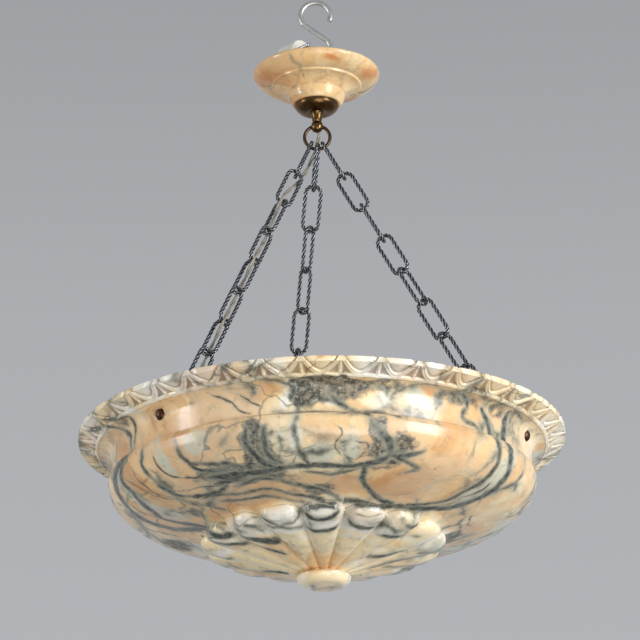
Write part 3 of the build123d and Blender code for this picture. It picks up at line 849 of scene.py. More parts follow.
@dataclass(frozen=True)
class Metal:
    """Metal with mottled tone, wear on its crests and small scratches."""

    name: str
    base: Colour
    shade: Colour
    worn: Colour
    roughness: float = 0.35
    metallic: float = 1.0
    mottle_scale: float = 140.0
    grime: float = 0.5
    crest: bool = False
    bump: float = 0.15

    def make(self) -> bpy.types.Material:
        """Build the material.

        Returns:
            The material. With crest set, it reads the crest number of a twisted wire.
        """
        w = Wiring(self.name)
        mottle = w.noise(self.mottle_scale, 5.0, 0.65)
        tone = w.mix(w.times(w.rise(mottle, 0.4, 0.7), self.grime), self.base, self.shade)
        if self.crest:
            high = w.plus(w.number("crest"), w.spread(w.noise(500.0, 2.0), 0.8))
            scuff = w.rise(high, 0.55, 1.0)
        else:
            scuff = w.rise(w.noise(self.mottle_scale * 4.0, 3.0, 0.7), 0.62, 0.75)
        w.set(Base_Color=w.mix(w.times(scuff, 0.7), tone, self.worn), Metallic=self.metallic,
              Roughness=w.plus(self.roughness - 0.1, w.times(mottle, 0.2)))
        w.bump(w.noise(self.mottle_scale * 3.0, 4.0, 0.7), self.bump, distance=0.0004)
        return w.material


@dataclass(frozen=True)
class Plastic:
    """Moulded plastic, porcelain or glass, with slight unevenness and dust."""

    name: str
    base: Colour
    dusty: Colour
    roughness: float = 0.35
    coat: float = 0.0
    grain: float = 900.0

    def make(self) -> bpy.types.Material:
        """Build the material.

        Returns:
            The material.
        """
        w = Wiring(self.name)
        cloud = w.rise(w.noise(60.0, 5.0, 0.6), 0.4, 0.75)
        w.set(Base_Color=w.mix(w.times(cloud, 0.6), self.base, self.dusty), IOR=1.5,
              Roughness=w.plus(self.roughness - 0.05, w.times(cloud, 0.2)), Coat_Weight=self.coat)
        w.bump(w.noise(self.grain, 3.0, 0.6), strength=0.1, distance=0.0002)
        return w.material


ZINC = Metal("zinc_wire", (206, 206, 202), (140, 142, 144), (236, 236, 234), 0.36, 0.85, 220.0)
STEEL = Metal("dull_steel", (120, 122, 126), (84, 86, 90), (190, 192, 195), 0.45, 0.9)
TWISTED = Metal("twisted_steel", (60, 66, 72), (30, 33, 37), (222, 226, 230), 0.34, 0.8, 260.0,
                grime=0.6, crest=True, bump=0.3)
BRONZE_WIRE = Metal("bronze_wire", (92, 74, 54), (48, 40, 34), (170, 148, 116), 0.34)
AGED_BRASS = Metal("aged_brass", (112, 86, 54), (66, 48, 32), (176, 138, 92), 0.24, 1.0, 70.0, 0.7)
DARK_BRONZE = Metal("dark_bronze", (88, 62, 48), (52, 38, 32), (140, 106, 84), 0.34, 0.9, 300.0)
BRASS = Metal("dull_brass", (176, 146, 92), (120, 94, 58), (220, 196, 140), 0.35, 1.0)
PIN_NICKEL = Metal("pin_nickel", (206, 208, 210), (160, 162, 166), (232, 234, 236), 0.25, 1.0)
PLUG_WHITE = Plastic("plug_white", (236, 233, 224), (214, 208, 194), 0.22, coat=0.4)
LEAD_PVC = Plastic("lead_pvc", (228, 226, 218), (196, 192, 180), 0.4)
FLEX_PVC = Plastic("clear_flex", (150, 146, 134), (98, 92, 80), 0.3, coat=0.3)
PORCELAIN = Plastic("porcelain", (240, 236, 226), (216, 208, 190), 0.16, coat=0.6)
OPAL_GLASS = Plastic("opal_glass", (244, 240, 230), (230, 224, 210), 0.12, coat=0.5)


def dress(obj: bpy.types.Object, material: bpy.types.Material) -> None:
    """Give an object one material in all of its slots.

    Args:
        obj: The piece.
        material: Its finish.
    """
    if not obj.material_slots:
        obj.data.materials.append(material)
    for slot in obj.material_slots:
        slot.material = material


# ---------------------------------------------------------------- markings in the stone
class Mark(Enum):
    """What a marking in the stone is."""

    BOLD = "vein"
    HAIR = "hair"
    PALE = "pale"
    DUST = "dust"
    WARM = "warm"
    CALM = "calm"


@dataclass(frozen=True)
class Vein:
    """Line in the stone, along points of azimuth and height on the surface."""

    mark: Mark
    width: float
    path: tuple[Pair, ...]
    tone: float = 0.9


@dataclass(frozen=True)
class Patch:
    """Clouded area of the stone, with its centre on the surface and its half sizes in mm."""

    mark: Mark
    azimuth: float
    height: float
    wide: float
    tall: float
    amount: float
    turn: float = 0.0
    hard: float = 0.5


class StoneMarks:
    """Turns veins and patches into numbers on a stone mesh."""

    FAR = 40.0
    PLAIN_TONE = 0.9
    SAMPLE = 1.2
    TIP_SHARE = 0.35
    TAPER = 14.0

    def __init__(self, outline: np.ndarray, lengths: np.ndarray, top_z: float,
                 least_r: float) -> None:
        """Remember the surface, which is turned about the vertical axis.

        Args:
            outline: Radius and drop of its rows.
            lengths: Their heights on the surface.
            top_z: Height that the drops count from.
            least_r: Least radius for patches, so that they keep their size near the axis.
        """
        self.outline = outline
        self.lengths = lengths
        self.top_z = top_z
        self.least_r = least_r
        self.bend = [Grain(seed, 26.0) for seed in (11, 12, 13)]
        self.jag = [Grain(seed, 7.0) for seed in (21, 22, 23)]

    def surface(self, azimuth: float, height: float) -> np.ndarray:
        """Point of the surface, before carving.

        Args:
            azimuth: Its azimuth.
            height: Its height on the surface.

        Returns:
            The point.
        """
        radius, drop = (float(np.interp(height, self.lengths, self.outline[:, k])) for k in (0, 1))
        return place(azimuth, radius, self.top_z - drop)

    def samples(self, vein: Vein) -> np.ndarray:
        """Points along a vein, on the surface.

        Args:
            vein: The vein.

        Returns:
            Its points, evenly spaced.
        """
        points = np.array([self.surface(a, h) for a, h in smooth_path(vein.path, 24)])
        return spaced(points, np.arange(0, running(points)[-1], self.SAMPLE))

    def push(self, points: np.ndarray, slow: float, quick: float) -> np.ndarray:
        """How far points are pushed about, so that lines wander and borders are ragged.

        Args:
            points: Array of shape (n, 3).
            slow: Size of the slow bends, in millimetres.
            quick: Size of the quick jags.

        Returns:
            Array of shape (n, 3).
        """
        shift = np.stack([g.at(points) for g in self.bend], 1) * slow
        return shift + np.stack([g.at(points) for g in self.jag], 1) * quick

    def gaps(self, points: np.ndarray, veins: Sequence[Vein]) -> tuple[np.ndarray, np.ndarray]:
        """Distance from each point to the nearest vein's edge, and that vein's tone.

        Args:
            points: Array of shape (n, 3).
            veins: The veins of one kind.

        Returns:
            The distances, negative inside a vein, and the tones.
        """
        gap = np.full(len(points), self.FAR)
        tone = np.full(len(points), self.PLAIN_TONE)
        if not veins:
            return gap, tone
        lines = [self.samples(v) for v in veins]
        tree = KDTree(sum(len(line) for line in lines))
        looks: list[Pair] = []
        for vein, line in zip(veins, lines):
            from_start = np.arange(len(line))
            from_end = np.minimum(from_start, from_start[::-1]) * self.SAMPLE
            taper = np.minimum(1.0, self.TIP_SHARE + from_end / self.TAPER)
            for spot, share in zip(line, taper):
                tree.insert(spot, len(looks))
                looks.append((vein.width / 2 * share, vein.tone))
        tree.balance()
        for number, spot in enumerate(points + self.push(points, 3.0, 1.1)):
            _, index, distance = tree.find(spot)
            half_width, tone[number] = looks[index]
            gap[number] = distance - half_width
        return gap, tone

    def cover(self, azimuths: np.ndarray, heights: np.ndarray, points: np.ndarray,
              patches: Sequence[Patch]) -> np.ndarray:
        """Sum of the patches of one kind at each point.

        Args:
            azimuths: Azimuth of each point.
            heights: Its height on the surface.
            points: Its place, in millimetres.
            patches: The patches.

        Returns:
            The sums.
        """
        total = np.zeros(len(points))
        shift = self.push(points, 5.0, 2.5)
        radius = np.maximum(self.least_r, np.interp(heights, self.lengths, self.outline[:, 0]))
        for patch in patches:
            turn = math.radians(patch.turn)
            along = (azimuths - patch.azimuth + 180.0) % 360.0 - 180.0
            x = np.radians(along) * radius + shift[:, 0]
            y = heights - patch.height + shift[:, 1]
            u = (x * math.cos(turn) + y * math.sin(turn)) / patch.wide
            v = (y * math.cos(turn) - x * math.sin(turn)) / patch.tall
            reach = np.sqrt(u * u + v * v)
            total += patch.amount * step(1.0 + patch.hard, 1.0 - patch.hard, reach)
        return total

    def paint_on(self, obj: bpy.types.Object, azimuths: np.ndarray, heights: np.ndarray,
                 points: np.ndarray, veins: Sequence[Vein], patches: Sequence[Patch]) -> None:
        """Store every kind of marking on a mesh.

        Args:
            obj: The stone piece.
            azimuths: Azimuth of each vertex.
            heights: Height of each vertex on the surface.
            points: Its place, in millimetres.
            veins: All veins.
            patches: All patches.
        """
        gap, tone = self.gaps(points, [v for v in veins if v.mark is Mark.BOLD])
        paint(obj, "vein", gap)
        paint(obj, "tone", tone)
        paint(obj, "hair", self.gaps(points, [v for v in veins if v.mark is Mark.HAIR])[0])
        for mark in (Mark.PALE, Mark.DUST, Mark.WARM, Mark.CALM):
            paint(obj, mark.value, self.cover(
                azimuths, heights, points, [p for p in patches if p.mark is mark]))


# ---------------------------------------------------------------- the carved bowl
@dataclass
class StoneRow:
    """One closed row of points of the bowl, with its height and the carving's hollows."""

    points: np.ndarray
    azimuths: np.ndarray
    height: float
    hollow: np.ndarray


@dataclass
class CarvedBowl:
    """Bowl with an egg-and-dart band and a sixteen-petal rosette, cut from one block."""

    rim_z: float = -476.0
    # outline of the outside, from the rim down to the boss
    rim_r: float = 240.0
    edge: float = 5.5
    foot: Pair = (221.0, 13.587)
    cove: tuple[Pair, Pair] = ((210.31, 17.31), (206.5, 26.5))
    neck_foot: Pair = (205.0, 43.0)
    ledge: Pair = (208.8, 44.5)
    body: tuple[Pair, ...] = ((209.8, 52), (203, 66), (185.4, 80), (160, 89.3), (133, 96.5),
                              (118, 102))
    petal_tips: tuple[Pair, ...] = ((119.6, 105.5), (118.4, 110.5), (113, 114.8), (103, 118.3),
                                    (90, 121.6))
    petal_roots: Pair = (22.0, 139.0)
    boss: Pair = (26.9, 141.0)
    boss_arc: tuple[Pair, Pair] = ((24.5, 147.0), (14.0, 151.0))
    boss_end: Pair = (2.0, 151.86)
    boss_drop: float = 151.95
    # outline of the inside, from the floor up and out over the rim
    floor_drop: float = 95.0
    floor_arc: tuple[Pair, Pair] = ((75.0, 91.4), (150.0, 80.5))
    wall_arc: tuple[Pair, Pair] = ((185.9, 71.4), (198.5, 48.0))
    lip: Pair = (198.5, 9.0)
    inner_r: float = 214.0
    rim_end_r: float = 239.4
    # heights of the band's top edge, the face's foot, the flats and the neck's foot
    top_s: float = 15.2
    face_s: float = 41.35
    spots_s: Pair = (44.0, 68.0)
    neck_foot_s: float = 79.8
    # which way the band's relief stands out on its edge, its corner and its sloping face
    edge_normal: Pair = (1.0, 0.0)
    corner_normal: Pair = (0.834, 0.551)
    face_normal: Pair = (0.392, 0.920)
    # one unit of the band; its section goes by the distance inside the egg's line
    eggs: int = 40
    egg_drop: float = 17.5
    egg_power: float = 1.9
    egg_section: tuple[Pair, ...] = (
        (-2.6, -2.9), (-1.3, -0.2), (-0.55, -0.5), (0.0, -1.2), (0.55, -0.5), (1.3, 0.0),
        (2.6, -2.3), (3.3, -2.3), (5.0, -1.1), (8.0, -0.35), (12.0, -0.1))
    dart_top: float = -0.9
    dart_slope: float = 0.62
    bead_r: float = 2.1
    bead_v: float = 16.0
    bead_base: float = -2.6
    groove: float = 2.9
    fillet_v: Pair = (17.7, 18.3)
    # petals of the rosette, their heights and how deep the carving between them is
    petals: int = 16
    petals_s: float = 186.0
    tip_s: float = 201.4
    shoulder_s: float = 227.0
    root_s: float = 313.6
    boss_s: float = 316.0
    petal_round: float = 10.0
    petal_arch: float = 0.97
    root_depth: float = 2.4
    shoulder_depth: float = 3.8
    # flats under the button nuts
    spot_r: float = 206.5
    spot_size: float = 6.9
    spot_proud: float = 6.0
    bolts: tuple[float, ...] = (-47.3, 72.7, 192.7)
    bolt_drop: float = 20.0
    columns: int = 960
    veins: tuple[Vein, ...] = ()
    patches: tuple[Patch, ...] = ()

    def outer(self) -> np.ndarray:
        """Outline of the outside, from the band's top edge to the middle of the boss.

        Returns:
            Radius and drop of each row.
        """
        line = Outline(self.rim_r, 0).run(self.rim_r, self.edge, 0.6).run(*self.foot, 0.6)
        line.arc(*self.cove, 24).run(*self.neck_foot, 1.5).run(*self.ledge, 1.2)
        line.curve(self.body, 13).curve(self.petal_tips, 8)
        line.run(*self.petal_roots, 1.25).run(*self.boss, 0.8).arc(*self.boss_arc, 12)
        return line.run(*self.boss_end, 1.5).array()

    def inner(self) -> np.ndarray:
        """Outline of the inside, from the middle of the floor to the rim's outer edge.

        Returns:
            Radius and drop of each row.
        """
        line = Outline(2, self.floor_drop).arc(*self.floor_arc, 30).arc(*self.wall_arc, 14)
        line.run(*self.lip, 4)
        return line.run(self.inner_r, 0, 3).run(self.rim_end_r, 0, 2.6).array()

    def egg_relief(self, u: np.ndarray, v: np.ndarray) -> np.ndarray:
        """Relief of the egg-and-dart band.

        Args:
            u: Place across one unit, from -0.5 to 0.5 with the egg in the middle.
            v: Distance below the band's top edge.

        Returns:
            Height of the surface, at most 0, in millimetres.
        """
        pitch = math.tau * self.rim_r / self.eggs
        curve_u = np.linspace(-0.62, 0.62, 500)
        dx = u[:, None] * pitch - curve_u * pitch
        dv = v[:, None] - self.egg_line(curve_u)
        away = np.sqrt((dx * dx + dv * dv).min(1))
        inside = v < self.egg_line(u)
        egg = np.interp(np.where(inside, away, -away), *zip(*self.egg_section))
        side = (0.5 - np.abs(u)) * pitch
        dart = np.where(inside, NO_RELIEF, self.dart_top - self.dart_slope * side)
        away = np.hypot(side, v - self.bead_v)
        bead = self.bead_base + np.sqrt(np.maximum(0.0, self.bead_r ** 2 - away ** 2))
        dart = np.maximum(dart, np.where(away < self.bead_r, bead, NO_RELIEF))
        relief = np.maximum(egg, np.maximum(dart, -self.groove))
        fillet = step(*self.fillet_v, v)
        return relief * (1 - fillet) - (0.25 + 0.5 * np.abs(2 * u) ** 8) * fillet

    def across_unit(self, azimuths: np.ndarray) -> np.ndarray:
        """Place across one unit of the band, from -0.5 to 0.5 with the egg in the middle.

        Args:
            azimuths: Azimuth of each point.

        Returns:
            Its place.
        """
        pitch = 360.0 / self.eggs
        return ((azimuths + pitch / 2) / pitch) % 1.0 - 0.5

    def egg_line(self, u: np.ndarray) -> np.ndarray:
        """Line that bounds the egg, as distance below the band's top edge."""
        return self.egg_drop * (1 - np.abs(2 * u) ** self.egg_power)

    def petal_shape(self, azimuths: np.ndarray) -> tuple[np.ndarray, np.ndarray]:
        """Shape of the petals round the rosette.

        Args:
            azimuths: Azimuth of each point of a row.

        Returns:
            How far each point is pulled in from the tips' circle, and how deep the relief
            is there for a petal one millimetre high.
        """
        half = 180.0 / self.petals
        t = ((azimuths + half) % (2 * half) - half) / half
        pull = self.petal_round * np.maximum(0.0, (np.abs(t) - 0.4) / 0.6) ** 2.2
        return pull, -(1 - np.sqrt(1 - (self.petal_arch * t) ** 2))

    def band(self, s: float, azimuths: np.ndarray) -> tuple[np.ndarray, np.ndarray, np.ndarray]:
        """Carving of the egg-and-dart band on one row.

        Args:
            s: Height of the row.
            azimuths: Azimuth of each of its points.

        Returns:
            How far each point moves out and down, and how hollow the carving is there.
        """
        below = s - self.top_s
        # the pattern is 20 mm high: 5.1 mm of it on the edge and the rest on the sloping face
        v = below * 0.927 if below <= self.edge else 5.1 + (below - self.edge) * 0.7216
        u = self.across_unit(azimuths)
        relief = self.egg_relief(u, np.full(len(u), min(v, 20.0)))
        relief = relief * float(np.clip((self.face_s - s) / 0.8, 0, 1))
        outward, downward = self.edge_normal if below < self.edge - 0.1 else self.face_normal
        if abs(below - self.edge) < 0.1:
            outward, downward = self.corner_normal
        # the last number darkens the band's recesses: painted shade, with brown patina
        return relief * outward, relief * downward, np.clip(-relief / 2.6, 0, 1) ** 1.3

    def rosette(self, s: float, azimuths: np.ndarray,
                slope: np.ndarray) -> tuple[np.ndarray, np.ndarray, np.ndarray]:
        """Carving of the petals on one row.

        Args:
            s: Height of the row.
            azimuths: Azimuth of each of its points.
            slope: Direction of the outline there, as radius and drop.

        Returns:
            How far each point moves out and down, and how hollow the carving is there.
        """
        pull, round_off = self.petal_shape(azimuths)
        after = float(np.clip((self.root_s - s) / (self.root_s - self.shoulder_s), 0, 1))
        pull = pull * (float(step(188, self.tip_s, np.array(s))) if s < self.tip_s else after)
        sag = 0.37 * float(np.clip((self.tip_s + 8 - s) / 8, 0, 1))
        inside = float(step(self.tip_s, self.tip_s + 4, np.array(s)))
        inside *= float(step(self.root_s + 0.5, self.root_s - 3, np.array(s)))
        carved = round_off * (self.root_depth + self.shoulder_depth * after) * inside
        # painted shade, with brown patina, in the grooves between the petals
        hollow = np.clip((np.abs(round_off) - 0.55) * 2.6, 0, 1) * inside * 0.55
        return slope[1] * carved - pull, pull * sag - slope[0] * carved, hollow

    def row(self, number: int, outline: np.ndarray, heights: np.ndarray,
            columns: int) -> tuple[np.ndarray, np.ndarray, np.ndarray]:
        """One carved row of the outside.

        Args:
            number: Which row.
            outline: All rows' radius and drop.
            heights: Their heights.
            columns: Number of points.

        Returns:
            The points, their azimuths, and how hollow the carving is there.
        """
        azimuths = np.arange(columns) * 360.0 / columns
        s = heights[number]
        outward = downward = hollow = np.zeros(columns)
        if s < self.face_s + 0.5:
            outward, downward, hollow = self.band(s, azimuths)
        if s > self.petals_s:
            slope = unit(outline[min(number + 1, len(outline) - 1)] - outline[number - 1])
            outward, downward, hollow = self.rosette(s, azimuths, slope)
        # Painted shade, with brown patina: round the boss, along the band's foot, the neck's foot
        # and under the petals' tips.
        if s > self.root_s - 4:
            hollow = np.maximum(hollow, near(s, self.boss_s, 5.0) * 0.9)
        for crease in (self.face_s + 1, self.neck_foot_s, self.tip_s):
            hollow = np.maximum(hollow, near(s, crease, 2.6) * 0.75)
        radius, drop = outline[number]
        points = self.ring(azimuths, radius + outward, drop + downward)
        if self.spots_s[0] < s < self.spots_s[1]:
            self.cut_spots(points)
        return points, azimuths, hollow

    def ring(self, azimuths: np.ndarray, radii: np.ndarray, drops: np.ndarray) -> np.ndarray:
        """Points round the axis.

        Args:
            azimuths: Azimuth of each point.
            radii: Its distance from the axis.
            drops: Its drop below the rim.

        Returns:
            Array of shape (n, 3).
        """
        a = np.radians(azimuths)
        return np.stack([np.sin(a) * radii, -np.cos(a) * radii, self.rim_z - drops], 1)

    def cut_spots(self, points: np.ndarray) -> None:
        """Flatten the stone under each button.

        Args:
            points: The points of a row, which are moved.
        """
        for azimuth in self.bolts:
            centre = place(azimuth, self.spot_r, self.rim_z - self.bolt_drop)
            away = points - centre
            proud = away @ out(azimuth)
            across = np.linalg.norm(away - np.outer(proud, out(azimuth)), axis=1)
            cut = (across < self.spot_size) & (proud > 0) & (proud < self.spot_proud)
            points[cut] -= np.outer(proud[cut], out(azimuth))

    def count_at(self, radius: float, half_r: float, quarter_r: float) -> int:
        """Number of points of a row, with fewer near the axis.

        Args:
            radius: Radius of the row.
            half_r: Radius from which inwards it has half of them.
            quarter_r: Radius from which inwards it has a quarter.

        Returns:
            The number.
        """
        if radius > half_r:
            return self.columns
        return self.columns // (2 if radius > quarter_r else 4)

    def inside_rows(self) -> list[StoneRow]:
        """Rows of the inside, from the middle of the floor to the rim's outer edge.

        Returns:
            The rows.
        """
        inner = self.inner()
        rows = []
        for (radius, drop), height in zip(inner, -running(inner)[::-1]):
            count = self.count_at(radius, 110.0, 40.0)
            azimuths = np.arange(count) * 360.0 / count
            r = np.full(count, radius)
            if radius > 232 and drop == 0:
                scallop = self.egg_relief(self.across_unit(azimuths), np.zeros(count))
                r = r + scallop * (radius - 232) / 8
            # painted shade, with brown patina, in the corner where the lip meets the rim's top
            hollow = np.full(count, near(radius, self.inner_r, 1.5) * 0.3)
            points = self.ring(azimuths, r, np.full(count, drop))
            rows.append(StoneRow(points, azimuths, height - 0.6, hollow))
        return rows

    def outside_rows(self, outline: np.ndarray, heights: np.ndarray) -> list[StoneRow]:
        """Rows of the carved outside, from the band's top edge to the middle of the boss.

        Args:
            outline: All rows' radius and drop.
            heights: Their heights.

        Returns:
            The rows.
        """
        rows = []
        for number, ((radius, _), height) in enumerate(zip(outline, heights)):
            on_band = height < self.face_s + 0.1
            count = self.columns * 2 if on_band else self.count_at(radius, 62.0, 16.0)
            points, azimuths, hollow = self.row(number, outline, heights, count)
            rows.append(StoneRow(points, azimuths, height, hollow))
        return rows

    def build(self, finish: bpy.types.Material) -> bpy.types.Object:
        """Build and dress the bowl.

        Args:
            finish: The stone.

        Returns:
            The bowl's object.
        """
        outline = self.outer()
        lengths = self.top_s + running(outline)
        rows = self.inside_rows() + self.outside_rows(outline, lengths)
        bowl = lathe_mesh("carved_alabaster_bowl", [row.points for row in rows], capped=True)
        middles = np.array([[0, 0, self.rim_z - drop] for drop in (self.floor_drop,
                                                                   self.boss_drop)])
        points = np.vstack([*(row.points for row in rows), middles])
        for number in (-2, -1):
            bowl.data.vertices[number].co.z = points[number][2] * MM
        azimuths = np.concatenate([*(row.azimuths for row in rows), [0.0, 0.0]])
        heights = np.concatenate([*(np.full(len(row.azimuths), row.height) for row in rows),
                                  [rows[0].height, lengths[-1]]])
        marks = StoneMarks(outline, lengths, self.rim_z, least_r=25.0)
        marks.paint_on(bowl, azimuths, heights, points, self.veins, self.patches)
        # the hollow number, which the finish turns into painted shade with brown patina
        paint(bowl, "hollow", np.concatenate([*(row.hollow for row in rows), [0.0, 0.0]]))
        dress(bowl, finish)
        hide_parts("alabaster_bowl")
        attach(bowl, "bowl")
        log.info("bowl: %d vertices, %d veins", len(points), len(self.veins))
        return bowl


@dataclass
class StoneCanopy:
    """Turned canopy: a dished top over two steps and a rounded foot."""

    rim_z: float = -78.0
    columns: int = 288
    bore_r: float = 5.3
    dish_floor: Pair = (34.0, 16.0)
    dish_rim: Pair = (59.0, 0.0)
    rim_top: Pair = (62.6, 0.0)
    rim_arc: tuple[Pair, Pair] = ((64.3, 0.75), (65.0, 3.0))
    upper_arc: tuple[Pair, Pair] = ((58.1, 10.7), (46.0, 14.0))
    upper_ledge: Pair = (45.0, 16.5)
    lower_ledge: Pair = (29.5, 23.5)
    lower_middle: Pair = (35.75, 19.1)
    foot_arc: tuple[Pair, Pair] = ((28.9, 27.67), (24.5, 36.0))
    veins: tuple[Vein, ...] = ()
    patches: tuple[Patch, ...] = ()

    def outline(self) -> Outline:
        """Section of the canopy, from the bore's top round to its foot.

        Returns:
            The outline.
        """
        line = Outline(self.bore_r, self.dish_floor[1]).run(*self.dish_floor, 1.6)
        line.run(*self.dish_rim, 1.4).run(*self.rim_top, 1.0)
        line.arc(*self.rim_arc, 6).arc(*self.upper_arc, 20)
        line.run(*self.upper_ledge, 0.7).arc(self.lower_middle, self.lower_ledge, 14)
        return line.arc(*self.foot_arc, 14).run(self.bore_r, self.foot_arc[1][1], 1.6)

    def build(self, finish: bpy.types.Material) -> bpy.types.Object:
        """Build and dress the canopy.

        Args:
            finish: The stone.

        Returns:
            The canopy's object.
        """
        line = self.outline()
        canopy = turned("turned_alabaster_canopy", line, self.rim_z, self.columns)
        points = np.array([v.co for v in canopy.data.vertices]) / MM
        azimuths = np.degrees(np.arctan2(points[:, 0], -points[:, 1]))
        radii = np.hypot(points[:, 0], points[:, 1])
        drops = self.rim_z - points[:, 2]
        profile = line.array()
        lengths = running(profile)
        nearest = KDTree(len(profile))
        for number, (radius, drop) in enumerate(profile):
            nearest.insert((radius, drop, 0), number)
        nearest.balance()
        heights = np.array([lengths[nearest.find((r, d, 0))[1]] for r, d in zip(radii, drops)])
        marks = StoneMarks(profile, lengths, self.rim_z, least_r=8.0)
        marks.paint_on(canopy, azimuths, heights, points, self.veins, self.patches)
        # painted shade, with brown patina, in the corners of the two steps
        away = [np.abs(radii - r) + np.abs(drops - d) for r, d in (self.upper_ledge,
                                                                   self.lower_ledge)]
        paint(canopy, "hollow", step(2.6, 0.0, np.minimum(*away)) * 0.8)
        dress(canopy, finish)
        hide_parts("alabaster_canopy")
        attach(canopy, "rose")
        log.info("canopy: %d vertices", len(points))
        return canopy


# ---------------------------------------------------------------- chains
@dataclass(frozen=True)
class ChainLine:
    """Where one chain runs, and how each of its links is turned about it."""

    name: str
    azimuth: float
    ring_angle: float
    rolls: tuple[float, ...]


CHAINS = (
    ChainLine("left", -47.3, -36.0, (0, 75, 145, 45, 135, 45, 130, 60, 150)),
    ChainLine("right", 72.7, 35.0, (0, 90, 0, 100, 30, 110, 40, 100, 5)),
    ChainLine("back", 192.7, 0.0, (8, 95, 30, 140, 75, 160, 85, 178, 78)),
)


@dataclass
class ChainSet:
    """Three chains of long links bent from twisted square wire."""

    ring_z: float = -150.558
    ring_r: float = 13.0
    ring_wire: float = 3.5
    wire: float = 4.2
    width: float = 20.0
    length: float = 51.0
    hang_gap: float = 0.3
    eye_r: float = 4.8
    eye_wire: float = 3.8
    eye_centre_r: float = 188.5
    bolt_z: float = -496.0
    view_tilt: float = 21.0
    quarter_turns: int = 22
    straight_steps: int = 26
    bend_steps: int = 30
    section_points: int = 16
    section_r: float = 1.72
    section_corner: float = 0.38

    def frame_of(self, chain: ChainLine) -> tuple[np.ndarray, ...]:
        """Start on the ring, pull, two side axes and the offset of each link's middle.

        Args:
            chain: The chain.

        Returns:
            Start, pull, depth axis, side axis, and the offsets along the pull.
        """
        a = math.radians(chain.ring_angle)
        start = np.array([self.ring_r * math.sin(a), 0, self.ring_z - self.ring_r * math.cos(a)])
        eye = place(chain.azimuth, self.eye_centre_r, self.bolt_z)
        pull = unit(eye - start)
        end = eye - pull * self.eye_r
        tilt = math.radians(self.view_tilt)
        view = np.array([0, math.cos(tilt), math.sin(tilt)])
        deep = unit(view - pull * float(view @ pull))
        side = np.cross(pull, deep)
        centre_length = self.length - self.wire
        first = (self.ring_wire + self.wire) / 2 + self.hang_gap
        last = (self.eye_wire + self.wire) / 2 + self.hang_gap
        count = len(chain.rolls)
        spacing = (float(np.linalg.norm(end - start)) + first + last - centre_length) / (count - 1)
        return start, pull, deep, side, centre_length / 2 - first + np.arange(count) * spacing

    def link_mesh(self, finish: bpy.types.Material) -> bpy.types.Mesh:
        """Mesh of one link, standing along Z and wide along X.

        Args:
            finish: The steel.

        Returns:
            The mesh, with its crest numbers.
        """
        radius = (self.width - self.wire) / 2
        half = (self.length - self.width) / 2
        side = [(radius, -half + 2 * half * k / self.straight_steps)
                for k in range(self.straight_steps)]
        for k in range(self.bend_steps):
            a = math.pi * k / self.bend_steps
            side.append((radius * math.cos(a), half + radius * math.sin(a)))
        path = side + [(-x, -z) for x, z in side]
        points = self.section_points
        angles = np.arange(points) * math.tau / points
        rho = self.section_r + self.section_corner * np.cos(4 * angles)
        count = len(path)
        rows = []
        for k, (x, z) in enumerate(path):
            before, after = np.array(path[k - 1]), np.array(path[(k + 1) % count])
            along = unit(after - before)
            outward = np.array([along[1], 0, -along[0]])
            turn = math.tau / 4 * self.quarter_turns * k / count
            rows.append(np.array([x, 0, z]) + np.outer(np.cos(angles + turn) * rho, outward)
                        + np.outer(np.sin(angles + turn) * rho, np.array([0, 1, 0])))
        shift = (self.quarter_turns * points // 4) % points
        faces = []
        for i in range(count):
            j = (i + 1) % count
            skip = shift if j == 0 else 0
            for k in range(points):
                m = (k + 1) % points
                faces.append((i * points + k, i * points + m,
                              j * points + (m + skip) % points, j * points + (k + skip) % points))
        pattern = add_mesh("twisted_link_pattern", np.vstack(rows), faces)
        paint(pattern, "crest", np.tile((np.cos(4 * angles) + 1) / 2, count))
        dress(pattern, finish)
        mesh = pattern.data
        bpy.data.objects.remove(pattern)
        return mesh

    def build(self, finish: bpy.types.Material) -> None:
        """Hang and dress every link.

        Args:
            finish: The steel.
        """
        mesh = self.link_mesh(finish)
        for chain in CHAINS:
            start, pull, deep, side, offsets = self.frame_of(chain)
            for number, (offset, roll) in enumerate(zip(offsets, chain.rolls), 1):
                a = math.radians(roll)
                width = deep * math.cos(a) + side * math.sin(a)
                axes = np.column_stack([width, np.cross(-pull, width), -pull])
                link = new_object(f"twisted_link_{chain.name}_{number}", mesh)
                matrix = Matrix(axes.tolist()).to_4x4()
                matrix.translation = Vector((start + pull * offset) * MM)
                link.matrix_world = matrix
                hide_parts(f"chain_{chain.name}_link_{number}")
                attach(link, "bowl")
            log.info("chain %s: %d links", chain.name, len(offsets))


# ---------------------------------------------------------------- flex and lead
def route_curve(name: str, points: Sequence[Sequence[float]], radius: float) -> bpy.types.Object:
    """Smooth round cord along its route.

    Args:
        name: Name of the piece.
        points: The route's points, in millimetres.
        radius: Radius of the cord; zero gives the bare line.

    Returns:
        The curve's object.
    """
    curve = bpy.data.curves.new(name, "CURVE")
    curve.dimensions = "3D"
    curve.resolution_u = 24
    curve.bevel_depth = radius * MM
    curve.bevel_resolution = 6
    curve.use_fill_caps = True
    spline = curve.splines.new("NURBS")
    spline.points.add(len(points) - 1)
    for control, point in zip(spline.points, points):
        control.co = (*[float(c) * MM for c in point], 1.0)
    spline.order_u = 3
    spline.use_endpoint_u = True
    return new_object(name, curve)


def route_line(points: Sequence[Sequence[float]]) -> np.ndarray:
    """Smooth line of a route.

    Args:
        points: The route's points, in millimetres.

    Returns:
        Points along the line, in millimetres.
    """
    obj = route_curve("route", points, 0.0)
    mesh = bpy.data.meshes.new_from_object(obj)
    line = np.array([v.co for v in mesh.vertices]) / MM
    bpy.data.objects.remove(obj)
    bpy.data.meshes.remove(mesh)
    return line


